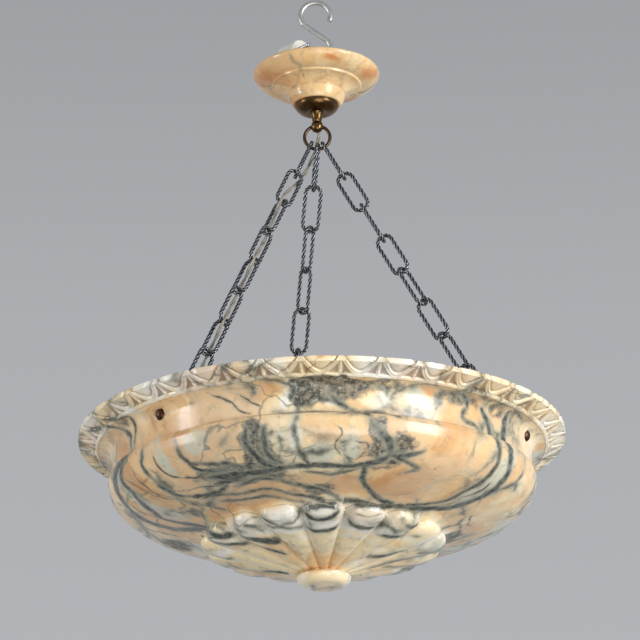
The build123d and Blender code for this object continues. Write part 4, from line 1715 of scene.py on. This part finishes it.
@dataclass
class TwinFlex:
    """Clear twin flex: two cores twisted together, from the cup down the left chain."""

    core_r: float = 1.12
    spread: float = 0.98
    core_points: int = 12
    first_up: Triple = (0.0, 1.0, 0.2)
    point_gap: float = 1.5
    lay_length: float = 46.0
    pivot: Triple = (0.0, 15.0, -150.558)
    fall: Triple = (-0.2421, -0.0581, -0.9685)
    mouth: Triple = (0.0, 12.0, -123.213)
    leave: Triple = (0.0, 0.6428, -0.7660)
    clear: float = 9.0
    sway: float = 0.6
    slot: float = 1.2
    in_cup: float = 3.0
    below_cup: float = 5.5
    above_pivot: float = 14.0
    below_pivot: float = 17.0
    arm_route: tuple[Triple, ...] = (
        (155, -473.0, 5.0), (149, -493.0, 4.0), (137, -510.0, 2.5), (116, -515.6, 0.5),
        (83, -515.6, 1.5), (49, -515.6, 0.0), (16, -515.6, 0.0))
    chains: ChainSet = field(default_factory=ChainSet)

    def link_axes(self, number: int) -> tuple[np.ndarray, np.ndarray, np.ndarray]:
        """Where one link of the left chain lies.

        Args:
            number: The link.

        Returns:
            Its middle, the direction of its width and the normal of its face.
        """
        start, pull, deep, side, offsets = self.chains.frame_of(CHAINS[0])
        a = math.radians(CHAINS[0].rolls[number])
        width = deep * math.cos(a) + side * math.sin(a)
        return start + pull * offsets[number], width, side * math.cos(a) - deep * math.sin(a)

    def beside_joint(self, number: int, before: float, after: float) -> np.ndarray:
        """Point beside a joint, on one side of each of the two links that meet there.

        Args:
            number: The link below the joint.
            before: Side of the upper link.
            after: Side of the lower link.

        Returns:
            The point.
        """
        start, pull, deep, side, offsets = self.chains.frame_of(CHAINS[0])
        upper, lower = self.link_axes(number - 1)[2], self.link_axes(number)[2]
        ax, ay, bx, by = upper @ deep, upper @ side, lower @ deep, lower @ side
        lift = self.clear * math.sqrt(0.5)
        both = ax * by - ay * bx
        u = (before * by - after * ay) * lift / both
        v = (ax * after - bx * before) * lift / both
        return start + pull * (number * (offsets[1] - offsets[0])) + deep * u + side * v

    def weave(self) -> list[np.ndarray]:
        """Weave of the flex, through each link and beside each joint.

        Returns:
            The points that it passes.
        """
        inward = out(CHAINS[0].azimuth) * -1
        last = len(CHAINS[0].rolls) - 1
        after = -1.0
        points = [self.beside_joint(1, 1.0, after)]
        for number in range(1, last):
            middle, width, _ = self.link_axes(number)
            before = -after
            here = float((points[-1] - middle) @ width)
            if number + 1 == last:
                after = math.copysign(1, float(self.link_axes(number + 1)[2] @ inward))
            else:
                crossed = self.beside_joint(number + 1, before, 1.0)
                after = 1.0 if float((crossed - middle) @ width) * here < 0 else -1.0
            following = self.beside_joint(number + 1, before, after)
            aside = (here + float((following - middle) @ width)) / 2
            aside = math.copysign(min(max(abs(aside), self.sway), self.slot), aside)
            points += [middle + width * aside, following]
        return points

    def lower_route(self) -> list[np.ndarray]:
        """Route from the ring's axis through the chain and along the lamp arm.

        Returns:
            The route's points.
        """
        azimuth = CHAINS[0].azimuth
        pivot, fall = np.array(self.pivot), np.array(self.fall)
        points = [pivot, pivot + fall * self.below_pivot, *self.weave()]
        for radius, z, aside in self.arm_route:
            points.append(place(azimuth, radius, z) + around(azimuth) * aside)
        return points

    def upper_route(self) -> list[np.ndarray]:
        """Route from the cup's hole to the ring's axis.

        Returns:
            The route's points.
        """
        mouth, leave = np.array(self.mouth), np.array(self.leave)
        pivot, fall = np.array(self.pivot), np.array(self.fall)
        return [mouth - leave * self.in_cup, mouth + leave * self.below_cup,
                pivot - fall * self.above_pivot, pivot]

    def cores(self, name: str, route: Sequence[np.ndarray], start_turn: float) -> tuple[
            bpy.types.Object, float]:
        """Two twisted cores along a route, as one mesh.

        Args:
            name: Name of the piece.
            route: The route's points.
            start_turn: Turn of the twist at the start, in radians.

        Returns:
            The piece, and the turn at its end.
        """
        line = route_line(route)
        length = running(line)[-1]
        even = np.linspace(0, length, max(8, int(length / self.point_gap)))
        line = spaced(line, even)
        up = np.array(self.first_up)
        sides, ups = section_frames(line, up)
        turn = start_turn + even / self.lay_length * math.tau
        pieces = []
        for half in (0.0, math.pi):
            offset = ups * np.cos(turn + half)[:, None] + sides * np.sin(turn + half)[:, None]
            pieces.append(swept(f"{name}_core", line + offset * self.spread, self.core_r,
                                self.core_points, up))
        first, second = pieces
        points = np.array([v.co for o in pieces for v in o.data.vertices]) / MM
        count = len(first.data.vertices)
        faces = [tuple(p.vertices) for p in first.data.polygons]
        faces += [tuple(v + count for v in p.vertices) for p in second.data.polygons]
        for piece in pieces:
            bpy.data.objects.remove(piece)
        return add_mesh(name, points, faces), float(turn[-1])

    def build(self, finish: bpy.types.Material) -> None:
        """Lay and dress both lengths of the flex.

        Args:
            finish: Its clear plastic.
        """
        upper, turn = self.cores("twin_flex_upper", self.upper_route(), 0.4)
        dress(upper, finish)
        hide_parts("flex_upper")
        mouth = np.array(self.mouth) + np.array(self.leave) * 2
        Vector(np.array(self.pivot) * MM)
        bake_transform(upper)
        lower, _ = self.cores("twin_flex_in_chain", self.lower_route(), turn)
        dress(lower, finish)
        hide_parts("flex_in_chain")
        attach(lower, "bowl")
        log.info("flex: from the cup to the ring and down the left chain")


@dataclass
class PlugAndLead:
    """White two-pin plug in the canopy's dish, and its lead."""

    lead_r: float = 2.1
    length: float = 212.4
    route: tuple[Triple, ...] = (
        (0, 0, -99.9), (0, 0, -71.4), (28.5, 4, -74.4), (40, 24, -77), (26, 41, -80),
        (2, 47.5, -81), (-22, 43, -80), (-42, 28, -77), (-51.619, 0.707, -72.709),
        (-37.477, -13.435, -72.709),
    )

    def build(self, plastic: bpy.types.Material, pvc: bpy.types.Material,
              nickel: bpy.types.Material) -> None:
        """Dress the plug and lay its lead.

        Args:
            plastic: Finish of the plug's body.
            pvc: Finish of the lead.
            nickel: Finish of the pins.
        """
        lead = route_curve("plug_lead_cord", self.route, self.lead_r)
        dress(lead, pvc)
        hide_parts("plug_lead")
        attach(lead, "rose")
        node = frame["nodes"]
        for name, finish in (
                ("plug_body", plastic), ("plug_pin_1", nickel), ("plug_pin_2", nickel)):
            dress(node[name], finish)
        [c * MM for c in self.route[0]]
        log.info("plug and lead: %.1f mm of lead", self.length)


@dataclass
class Hardware:
    """The metal, porcelain and glass pieces whose shape comes from the frame.

    Each finish is for the pieces whose names start with the words before it.
    """

    finishes: dict[str, Metal | Plastic] = field(default_factory=lambda: {
        "suspension_hook": ZINC, "canopy_bail": STEEL, "threaded_tube": STEEL,
        "tube_nut": STEEL, "rose_washer": STEEL, "brass_cup": AGED_BRASS,
        "suspension_ring": BRONZE_WIRE, "lamp_spider": BRASS, "hub_cover": BRASS,
        "eye_bolt": DARK_BRONZE, "button_nut": DARK_BRONZE, "bolt_washer": BRASS,
        "lampholder": PORCELAIN, "bulb": OPAL_GLASS,
    })

    def build(self) -> None:
        """Dress each piece."""
        made = {start: finish.make() for start, finish in self.finishes.items()}
        for name, node in frame["nodes"].items():
            for start, finish in made.items():
                if name.startswith(start) and not node.hide_render:
                    dress(node, finish)
                    break
        log.info("hardware: %d finishes", len(made))


# ---------------------------------------------------------------- studio
@dataclass(frozen=True)
class Softbox:
    """Soft lamp that faces the object.

    The azimuth counts from the front towards +X, and the elevation from level, seen from the
    object. The distance, the width and the height are in metres, and the power is in watts.
    """

    name: str
    azimuth: float
    elevation: float
    distance: float
    size: Pair
    power: float

    def build(self, aim: Vector) -> None:
        """Set up the lamp.

        Args:
            aim: Point that it faces, in metres.
        """
        data = bpy.data.lights.new(self.name, "AREA")
        data.shape = "RECTANGLE"
        data.size, data.size_y = self.size
        data.energy = self.power
        lamp = new_object(self.name, data)
        e = math.radians(self.elevation)
        direction = Vector(out(self.azimuth) * math.cos(e) + np.array([0, 0, math.sin(e)]))
        lamp.location = aim + direction * self.distance
        lamp.rotation_euler = direction.to_track_quat("Z", "Y").to_euler()


@dataclass
class Studio:
    """Camera, lamps, backdrop and floor."""

    camera_at: Triple = (0.0, -3.0, -1.491)
    pitch: float = 20.82
    roll: float = -0.86
    sensor_mm: float = 36.0
    focal_px: float = 3206.0
    image_px: float = 640.0
    floor_z: float = -5.6
    floor_half: float = 9.0
    aim: Triple = (0.0, 0.0, -0.45)
    lamps: tuple[Softbox, ...] = (
        Softbox("softbox_right", 52, -1, 2.3, (0.85, 1.75), 50),
        Softbox("softbox_left", -74, 0, 2.4, (0.42, 1.5), 18),
        Softbox("fill_front", 14, -40, 3.2, (2.0, 1.2), 28),
    )
    ambient: float = 0.52
    ambient_tone: Colour = (229, 229, 229)
    backdrop_tones: tuple[tuple[float, Colour], ...] = (
        (0.0, (186, 188, 192)), (0.26, (178, 180, 184)), (0.355, (172, 174, 178)),
        (0.47, (155, 157, 161)),
    )

    def camera(self) -> None:
        """Camera at the photograph's viewing angle."""
        data = bpy.data.cameras.new("camera")
        data.sensor_width = self.sensor_mm
        data.lens = self.sensor_mm * self.focal_px / self.image_px
        data.clip_start, data.clip_end = 0.05, 60.0
        camera = new_object("camera", data)
        p = math.radians(self.pitch)
        forward = Vector((0, math.cos(p), math.sin(p)))
        right, up = Vector((1, 0, 0)), Vector((0, -math.sin(p), math.cos(p)))
        turn = math.radians(self.roll)
        r = right * math.cos(turn) + up * math.sin(turn)
        u = up * math.cos(turn) - right * math.sin(turn)
        matrix = Matrix((r, u, -forward)).transposed().to_4x4()
        matrix.translation = Vector(self.camera_at)
        camera.matrix_world = matrix
        bpy.context.scene.camera = camera

    def world(self) -> None:
        """Pale backdrop for the camera and reflections, and even light for the object."""
        world = bpy.data.worlds.new("studio")
        bpy.context.scene.world = world
        world.use_nodes = True
        tree = world.node_tree
        tree.nodes.clear()
        where = tree.nodes.new("ShaderNodeTexCoord").outputs["Generated"]
        split = tree.nodes.new("ShaderNodeSeparateXYZ")
        tree.links.new(where, split.inputs[0])
        ramp = tree.nodes.new("ShaderNodeValToRGB")
        first, *between, last = self.backdrop_tones
        for element, (spot, tone) in zip(ramp.color_ramp.elements, (first, last)):
            element.position = spot
            element.color = linear(tone)
        for spot, tone in between:
            ramp.color_ramp.elements.new(spot).color = linear(tone)
        tree.links.new(split.outputs["Z"], ramp.inputs["Fac"])
        backdrop = tree.nodes.new("ShaderNodeBackground")
        tree.links.new(ramp.outputs["Color"], backdrop.inputs["Color"])
        ambient = tree.nodes.new("ShaderNodeBackground")
        ambient.inputs["Color"].default_value = linear(self.ambient_tone)
        ambient.inputs["Strength"].default_value = self.ambient
        rays = tree.nodes.new("ShaderNodeLightPath")
        seen = rays.outputs["Is Camera Ray"]
        for kind in ("Is Glossy Ray", "Is Transmission Ray"):
            either = tree.nodes.new("ShaderNodeMath")
            either.operation = "MAXIMUM"
            tree.links.new(seen, either.inputs[0])
            tree.links.new(rays.outputs[kind], either.inputs[1])
            seen = either.outputs[0]
        mix = tree.nodes.new("ShaderNodeMixShader")
        tree.links.new(seen, mix.inputs["Fac"])
        tree.links.new(ambient.outputs[0], mix.inputs[1])
        tree.links.new(backdrop.outputs[0], mix.inputs[2])
        output = tree.nodes.new("ShaderNodeOutputWorld")
        tree.links.new(mix.outputs[0], output.inputs["Surface"])

    def floor(self) -> None:
        """Plain pale floor, well below the hanging bowl."""
        half, z = self.floor_half / MM, self.floor_z / MM
        plane = add_mesh("floor", np.array([
            (-half, -half, z), (half, -half, z), (half, half, z), (-half, half, z)]),
            [(0, 1, 2, 3)], smooth=False)
        w = Wiring("pale_floor")
        w.set(Base_Color=w.mix(w.noise(0.6, 2.0), (186, 188, 190), (194, 196, 198)),
              Roughness=0.9)
        dress(plane, w.material)

    def build(self) -> None:
        """Set up the studio."""
        bpy.context.scene.view_settings.view_transform = "Standard"
        self.camera()
        for lamp in self.lamps:
            lamp.build(Vector(self.aim))
        self.world()
        self.floor()
        log.info("studio: camera, %d lamps, backdrop and floor", len(self.lamps))


# ---------------------------------------------------------------- the stone's own markings
def scattered_veins(seed: int, count: int, azimuths: Pair, heights: Pair) -> tuple[Vein, ...]:
    """Veins strewn over part of the surface, the same for each seed.

    Args:
        seed: Number that fixes them.
        count: How many.
        azimuths: Range of their starts.
        heights: Range of their heights.

    Returns:
        The veins.
    """
    rng = np.random.default_rng(seed)
    veins = []
    for _ in range(count):
        azimuth, height = rng.uniform(*azimuths), rng.uniform(*heights)
        heading = rng.uniform(-1.3, 1.3)
        path = [(azimuth, height)]
        for _ in range(int(rng.integers(4, 10))):
            heading += rng.normal(0, 0.35)
            azimuth += math.cos(heading) * 5.0
            height += math.sin(heading) * 15.0
            if not heights[0] < height < heights[1]:
                break
            path.append((azimuth, height))
        if len(path) > 2:
            bold = rng.random() < 0.5
            width = rng.uniform(1.4, 3.4) if bold else rng.uniform(0.7, 1.2)
            veins.append(Vein(Mark.BOLD if bold else Mark.HAIR, width, tuple(path),
                              rng.uniform(0.6, 0.95)))
    return tuple(veins)


def scattered_patches(seed: int, count: int, azimuths: Pair, heights: Pair) -> tuple[Patch, ...]:
    """Patches strewn over part of the surface, the same for each seed.

    Args:
        seed: Number that fixes them.
        count: How many.
        azimuths: Range of their azimuths.
        heights: Range of their heights.

    Returns:
        The patches.
    """
    rng = np.random.default_rng(seed)
    marks = (Mark.DUST, Mark.PALE, Mark.WARM, Mark.WARM)
    patches = []
    for number in range(count):
        mark = marks[number % 4]
        amount = rng.choice((-0.8, 0.6, 0.8)) if mark is Mark.WARM else rng.uniform(0.6, 1.0)
        wide = rng.uniform(12, 34)
        patches.append(Patch(mark, rng.uniform(*azimuths), rng.uniform(*heights), wide,
                             wide * rng.uniform(0.4, 1.0), float(amount), rng.uniform(-60, 60)))
    return tuple(patches)


BOWL_VEINS: tuple[Vein, ...] = (
    # left: two lines in the hollow moulding, gathered into one bundle down the body
    Vein(Mark.BOLD, 2.8, ((-66, 32), (-61, 41), (-58, 45), (-59, 53), (-59.5, 61),
                          (-60, 70), (-60.5, 84))),
    Vein(Mark.BOLD, 3.4, ((-76, 28), (-68, 40), (-66, 48), (-63, 62), (-62.5, 72),
                          (-62, 86))),
    Vein(Mark.BOLD, 8.0, ((-62, 86), (-67, 89), (-72, 93), (-75, 101), (-80, 115), (-83, 127),
                          (-86, 142), (-87, 160), (-85, 178), (-73, 200))),
    Vein(Mark.BOLD, 5.0, ((-64, 90), (-67, 96), (-70, 106), (-70, 122), (-74, 143), (-78, 161),
                          (-76, 180), (-70, 199))),
    Vein(Mark.HAIR, 2.0, ((-60, 98), (-62, 113), (-61, 128), (-61, 146), (-56, 157))),
    Vein(Mark.BOLD, 3.4, ((-54, 88), (-55, 97), (-56, 105), (-55, 122), (-55, 139), (-54, 150),
                          (-48, 161), (-40, 164), (-34, 156))),
    Vein(Mark.HAIR, 2.0, ((-50, 92), (-50, 108), (-48, 124), (-42, 134), (-36, 136))),
    Vein(Mark.HAIR, 2.0, ((-55, 139), (-50, 146), (-43, 150), (-36, 156))),
    Vein(Mark.HAIR, 2.0, ((-90, 128), (-95, 148), (-95, 175))),
    Vein(Mark.HAIR, 2.0, ((-84, 170), (-88, 190), (-80, 205), (-66, 214))),
    Vein(Mark.BOLD, 2.6, ((-40, 92), (-40, 104), (-39, 116), (-37, 128), (-30, 136))),
    Vein(Mark.BOLD, 3.0, ((-39, 117), (-34, 122), (-28, 128), (-24, 138)), 0.8),
    # front: the crackled band, the speckled line and the node on the right
    Vein(Mark.BOLD, 6.5, ((-37, 141), (-30, 144), (-24, 146), (-16, 145), (-11, 140))),
    Vein(Mark.BOLD, 4.0, ((-38, 152), (-30, 150), (-24, 147))),
    Vein(Mark.BOLD, 3.0, ((-32, 160), (-20, 158), (-9, 172), (0, 186), (8, 203))),
    Vein(Mark.BOLD, 2.4, ((-48, 166), (-36, 170), (-20, 178), (-8, 190), (2, 204))),
    Vein(Mark.BOLD, 2.4, ((-44, 178), (-30, 184), (-16, 194), (-8, 203)), 0.8),
    Vein(Mark.BOLD, 5.0, ((-20, 96), (-21, 108), (-19, 120), (-17, 134), (-14, 142))),
    Vein(Mark.BOLD, 3.0, ((-14, 96), (-15, 108), (-15, 122), (-12, 134)), 0.8),
    Vein(Mark.BOLD, 5.0, ((-16, 142), (-6, 141), (5, 142), (13, 139), (18, 130), (20, 122))),
    Vein(Mark.BOLD, 4.5, ((20, 124), (18, 108), (14, 98), (13, 90))),
    Vein(Mark.BOLD, 2.2, ((13, 90), (9, 78), (4, 68), (2, 60))),
    Vein(Mark.BOLD, 4.0, ((20, 124), (25, 121), (29, 115))),
    Vein(Mark.BOLD, 3.0, ((21, 124), (26, 132), (30, 138), (27, 148))),
    Vein(Mark.BOLD, 3.4, ((13, 139), (14, 154), (15, 168), (21, 185), (33, 198))),
    Vein(Mark.BOLD, 2.4, ((-6, 150), (2, 156), (8, 152), (12, 146)), 0.8),
    Vein(Mark.HAIR, 1.4, ((-24, 54), (-20.5, 62), (-14, 77))),
    Vein(Mark.HAIR, 1.4, ((-30, 50), (-26, 60), (-22, 72), (-18, 78))),
    Vein(Mark.HAIR, 1.4, ((-5, 166), (-1, 180), (4, 196))),
    Vein(Mark.BOLD, 2.4, ((-6, 86), (-7, 100), (-6, 116), (-5, 128), (-4, 138)), 0.8),
    Vein(Mark.HAIR, 1.4, ((2, 92), (6, 104), (4, 118), (8, 136))),
    Vein(Mark.HAIR, 1.4, ((4, 118), (9, 112), (13, 116), (11, 128), (7, 134))),
    Vein(Mark.BOLD, 2.4, ((-12, 78), (0, 80), (11, 82), (22, 84)), 0.7),
    # right: a pair of lines swept round the side to the foot of the body
    Vein(Mark.BOLD, 6.0, ((57, 50), (57, 66), (57, 82), (60, 100), (62, 115), (63, 130),
                          (63, 146), (63, 164), (60, 181), (52, 191), (46, 196), (34, 199),
                          (18, 203), (2, 203))),
    Vein(Mark.BOLD, 4.4, ((47, 56), (50, 70), (52, 85), (54, 100), (55, 117), (55, 135),
                          (54, 150), (54, 172), (47, 188), (38, 195))),
    Vein(Mark.HAIR, 2.0, ((58, 100), (58, 120), (59, 140), (58, 160))),
    Vein(Mark.HAIR, 2.0, ((64, 150), (74, 168), (84, 176), (92, 168))),
    Vein(Mark.BOLD, 2.6, ((38, 50), (42, 60), (40, 70), (46, 78)), 0.8),
    # rosette
    Vein(Mark.BOLD, 7.0, ((-66, 206), (-60, 222), (-48, 240), (-30, 262))),
    Vein(Mark.BOLD, 3.0, ((-72, 214), (-66, 232), (-56, 250), (-40, 276))),
    Vein(Mark.BOLD, 3.0, ((-40, 216), (-36, 226), (-34, 238))),
    Vein(Mark.BOLD, 3.0, ((-30, 212), (-24, 222), (-20, 232), (-14, 236))),
    Vein(Mark.BOLD, 4.0, ((-10, 214), (-4, 222), (4, 220), (9, 212), (4, 207), (-5, 208),
                          (-10, 214))),
    Vein(Mark.BOLD, 3.0, ((-12, 238), (-4, 242), (6, 240), (12, 232))),
    Vein(Mark.BOLD, 3.4, ((13, 226), (20, 233), (29, 231), (34, 222))),
    Vein(Mark.BOLD, 4.0, ((40, 214), (47, 219), (53, 213))),
    Vein(Mark.HAIR, 1.6, ((14, 214), (22, 217), (28, 212))),
    Vein(Mark.BOLD, 3.0, ((36, 240), (52, 236), (62, 226))),
    Vein(Mark.BOLD, 4.0, ((80, 240), (70, 262), (52, 286))),
)
BOWL_PATCHES: tuple[Patch, ...] = (
    Patch(Mark.DUST, 1, 56, 38, 16, 1.1, 0, 0.3),
    Patch(Mark.DUST, -5, 68, 14, 8, 0.8),
    Patch(Mark.DUST, 16, 52, 18, 9, 0.5),
    Patch(Mark.DUST, -18, 118, 16, 28, 1.2, 0, 0.5),
    Patch(Mark.DUST, -27, 145, 44, 13, 1.0, 14),
    Patch(Mark.DUST, 20, 119, 20, 17, 1.0, 0, 0.6),
    Patch(Mark.DUST, 15, 97, 9, 12, 0.8),
    Patch(Mark.DUST, 3, 142, 50, 3, 0.6),
    Patch(Mark.DUST, -2, 184, 12, 10, 0.8),
    Patch(Mark.DUST, 38, 54, 26, 9, 0.5),
    Patch(Mark.DUST, 53, 54, 12, 10, 0.5),
    Patch(Mark.DUST, -62, 48, 10, 9, 0.55),
    Patch(Mark.DUST, -63, 90, 8, 6, 0.9),
    Patch(Mark.DUST, -25, 184, 40, 9, 0.2),
    # painted light: fewer veins and less matrix on the brightly lit right side round the neck
    Patch(Mark.CALM, 82, 56, 60, 34, 1.0, 0, 0.2),
    Patch(Mark.CALM, 37, 135, 42, 42, 0.9, 0, 0.4),
    Patch(Mark.CALM, -42, 62, 60, 16, 0.8, 0, 0.4),
    Patch(Mark.CALM, -85, 56, 40, 26, 0.8, 0, 0.4),
    Patch(Mark.CALM, -72, 36, 90, 14, 0.7, 0, 0.4),
    Patch(Mark.CALM, 2, 100, 34, 18, 0.6, 0, 0.4),
    Patch(Mark.CALM, -2, 180, 90, 22, 0.7, 0, 0.3),
    Patch(Mark.CALM, 0, 285, 4000, 50, 0.9, 0, 0.15),
    Patch(Mark.PALE, -72, 130, 12, 50, 0.9),
    Patch(Mark.PALE, 59, 125, 11, 50, 0.9),
    Patch(Mark.PALE, -47, 105, 9, 26, 0.7),
    Patch(Mark.PALE, 0, 128, 14, 13, 0.7),
    Patch(Mark.PALE, 9, 122, 9, 18, 0.75),
    Patch(Mark.PALE, 24, 60, 13, 9, 0.7),
    Patch(Mark.PALE, -8, 62, 8, 8, 0.6),
    Patch(Mark.PALE, -34, 100, 16, 14, 0.6),
    Patch(Mark.WARM, 0, 28, 4000, 15, -0.75, 0, 0.1),
    Patch(Mark.WARM, -16, 57, 22, 10, 0.6),
    Patch(Mark.WARM, -5, 178, 75, 24, 0.6),
    Patch(Mark.WARM, 26, 168, 24, 22, 0.45),
    Patch(Mark.WARM, -45, 186, 50, 22, 0.3),
    Patch(Mark.WARM, 38, 135, 45, 55, -0.15),
    # painted light: paler cream on the brightly lit right side round the neck
    Patch(Mark.WARM, 75, 60, 40, 22, -0.5),
    Patch(Mark.WARM, 16, 68, 16, 8, -1.1),
    Patch(Mark.WARM, 26, 66, 16, 8, -1.0),
    Patch(Mark.WARM, 3, 70, 6, 5, -1.0),
    Patch(Mark.WARM, -9, 60, 7, 16, -0.9),
    Patch(Mark.WARM, -10.5, 106, 12, 30, -0.5),
    Patch(Mark.WARM, -6.5, 102, 4, 22, -1.2),
    Patch(Mark.WARM, 3, 100, 26, 14, 0.05),
    Patch(Mark.WARM, 0, 218, 4000, 22, -0.85, 0, 0.25),
    Patch(Mark.WARM, 0, 285, 4000, 40, -0.25, 0, 0.2),
    Patch(Mark.WARM, 0, 335, 4000, 14, -0.5, 0, 0.2),
)
CANOPY_VEINS: tuple[Vein, ...] = (
    Vein(Mark.BOLD, 1.2, ((-25, 66), (-23, 74), (-17, 84), (-20, 92)), 0.6),
    Vein(Mark.HAIR, 0.9, ((-2, 93), (-14, 94), (-19, 100), (-20, 110), (-22, 121))),
    Vein(Mark.BOLD, 1.2, ((95, 66), (102, 76), (112, 86), (116, 100)), 0.6),
    Vein(Mark.BOLD, 1.2, ((190, 40), (196, 64), (204, 80), (200, 100)), 0.6),
)
CANOPY_PATCHES: tuple[Patch, ...] = (
    Patch(Mark.WARM, 17, 73, 10, 5, 0.75, 20, 0.9),
    Patch(Mark.WARM, 74, 76, 14, 7, 0.7, -20, 0.9),
    Patch(Mark.WARM, -64, 80, 14, 8, 0.3, 0, 0.9),
    Patch(Mark.WARM, 150, 76, 20, 9, 0.7, 0, 0.9),
)


def main() -> None:
    """Build every piece in order and set up the studio."""
    stone = Alabaster("bowl_alabaster_finish").make()
    CarvedBowl(
        veins=BOWL_VEINS + scattered_veins(5, 60, (75, 262), (40, 300)),
        patches=BOWL_PATCHES + scattered_patches(8, 48, (78, 258), (50, 230)),
    ).build(stone)
    StoneCanopy(veins=CANOPY_VEINS, patches=CANOPY_PATCHES).build(Alabaster(
        "canopy_alabaster_finish", cream=(240, 214, 166), peach=(230, 190, 134),
        orange=(204, 134, 80), pink=(228, 190, 142), film=(206, 178, 134),
        warmth=0.15, matrix=0.15, fine_veins=0.25).make())
    ChainSet().build(TWISTED.make())
    TwinFlex().build(FLEX_PVC.make())
    PlugAndLead().build(PLUG_WHITE.make(), LEAD_PVC.make(), PIN_NICKEL.make())
    Hardware().build()
    Studio().build()


if __name__ == "__main__":
    main()
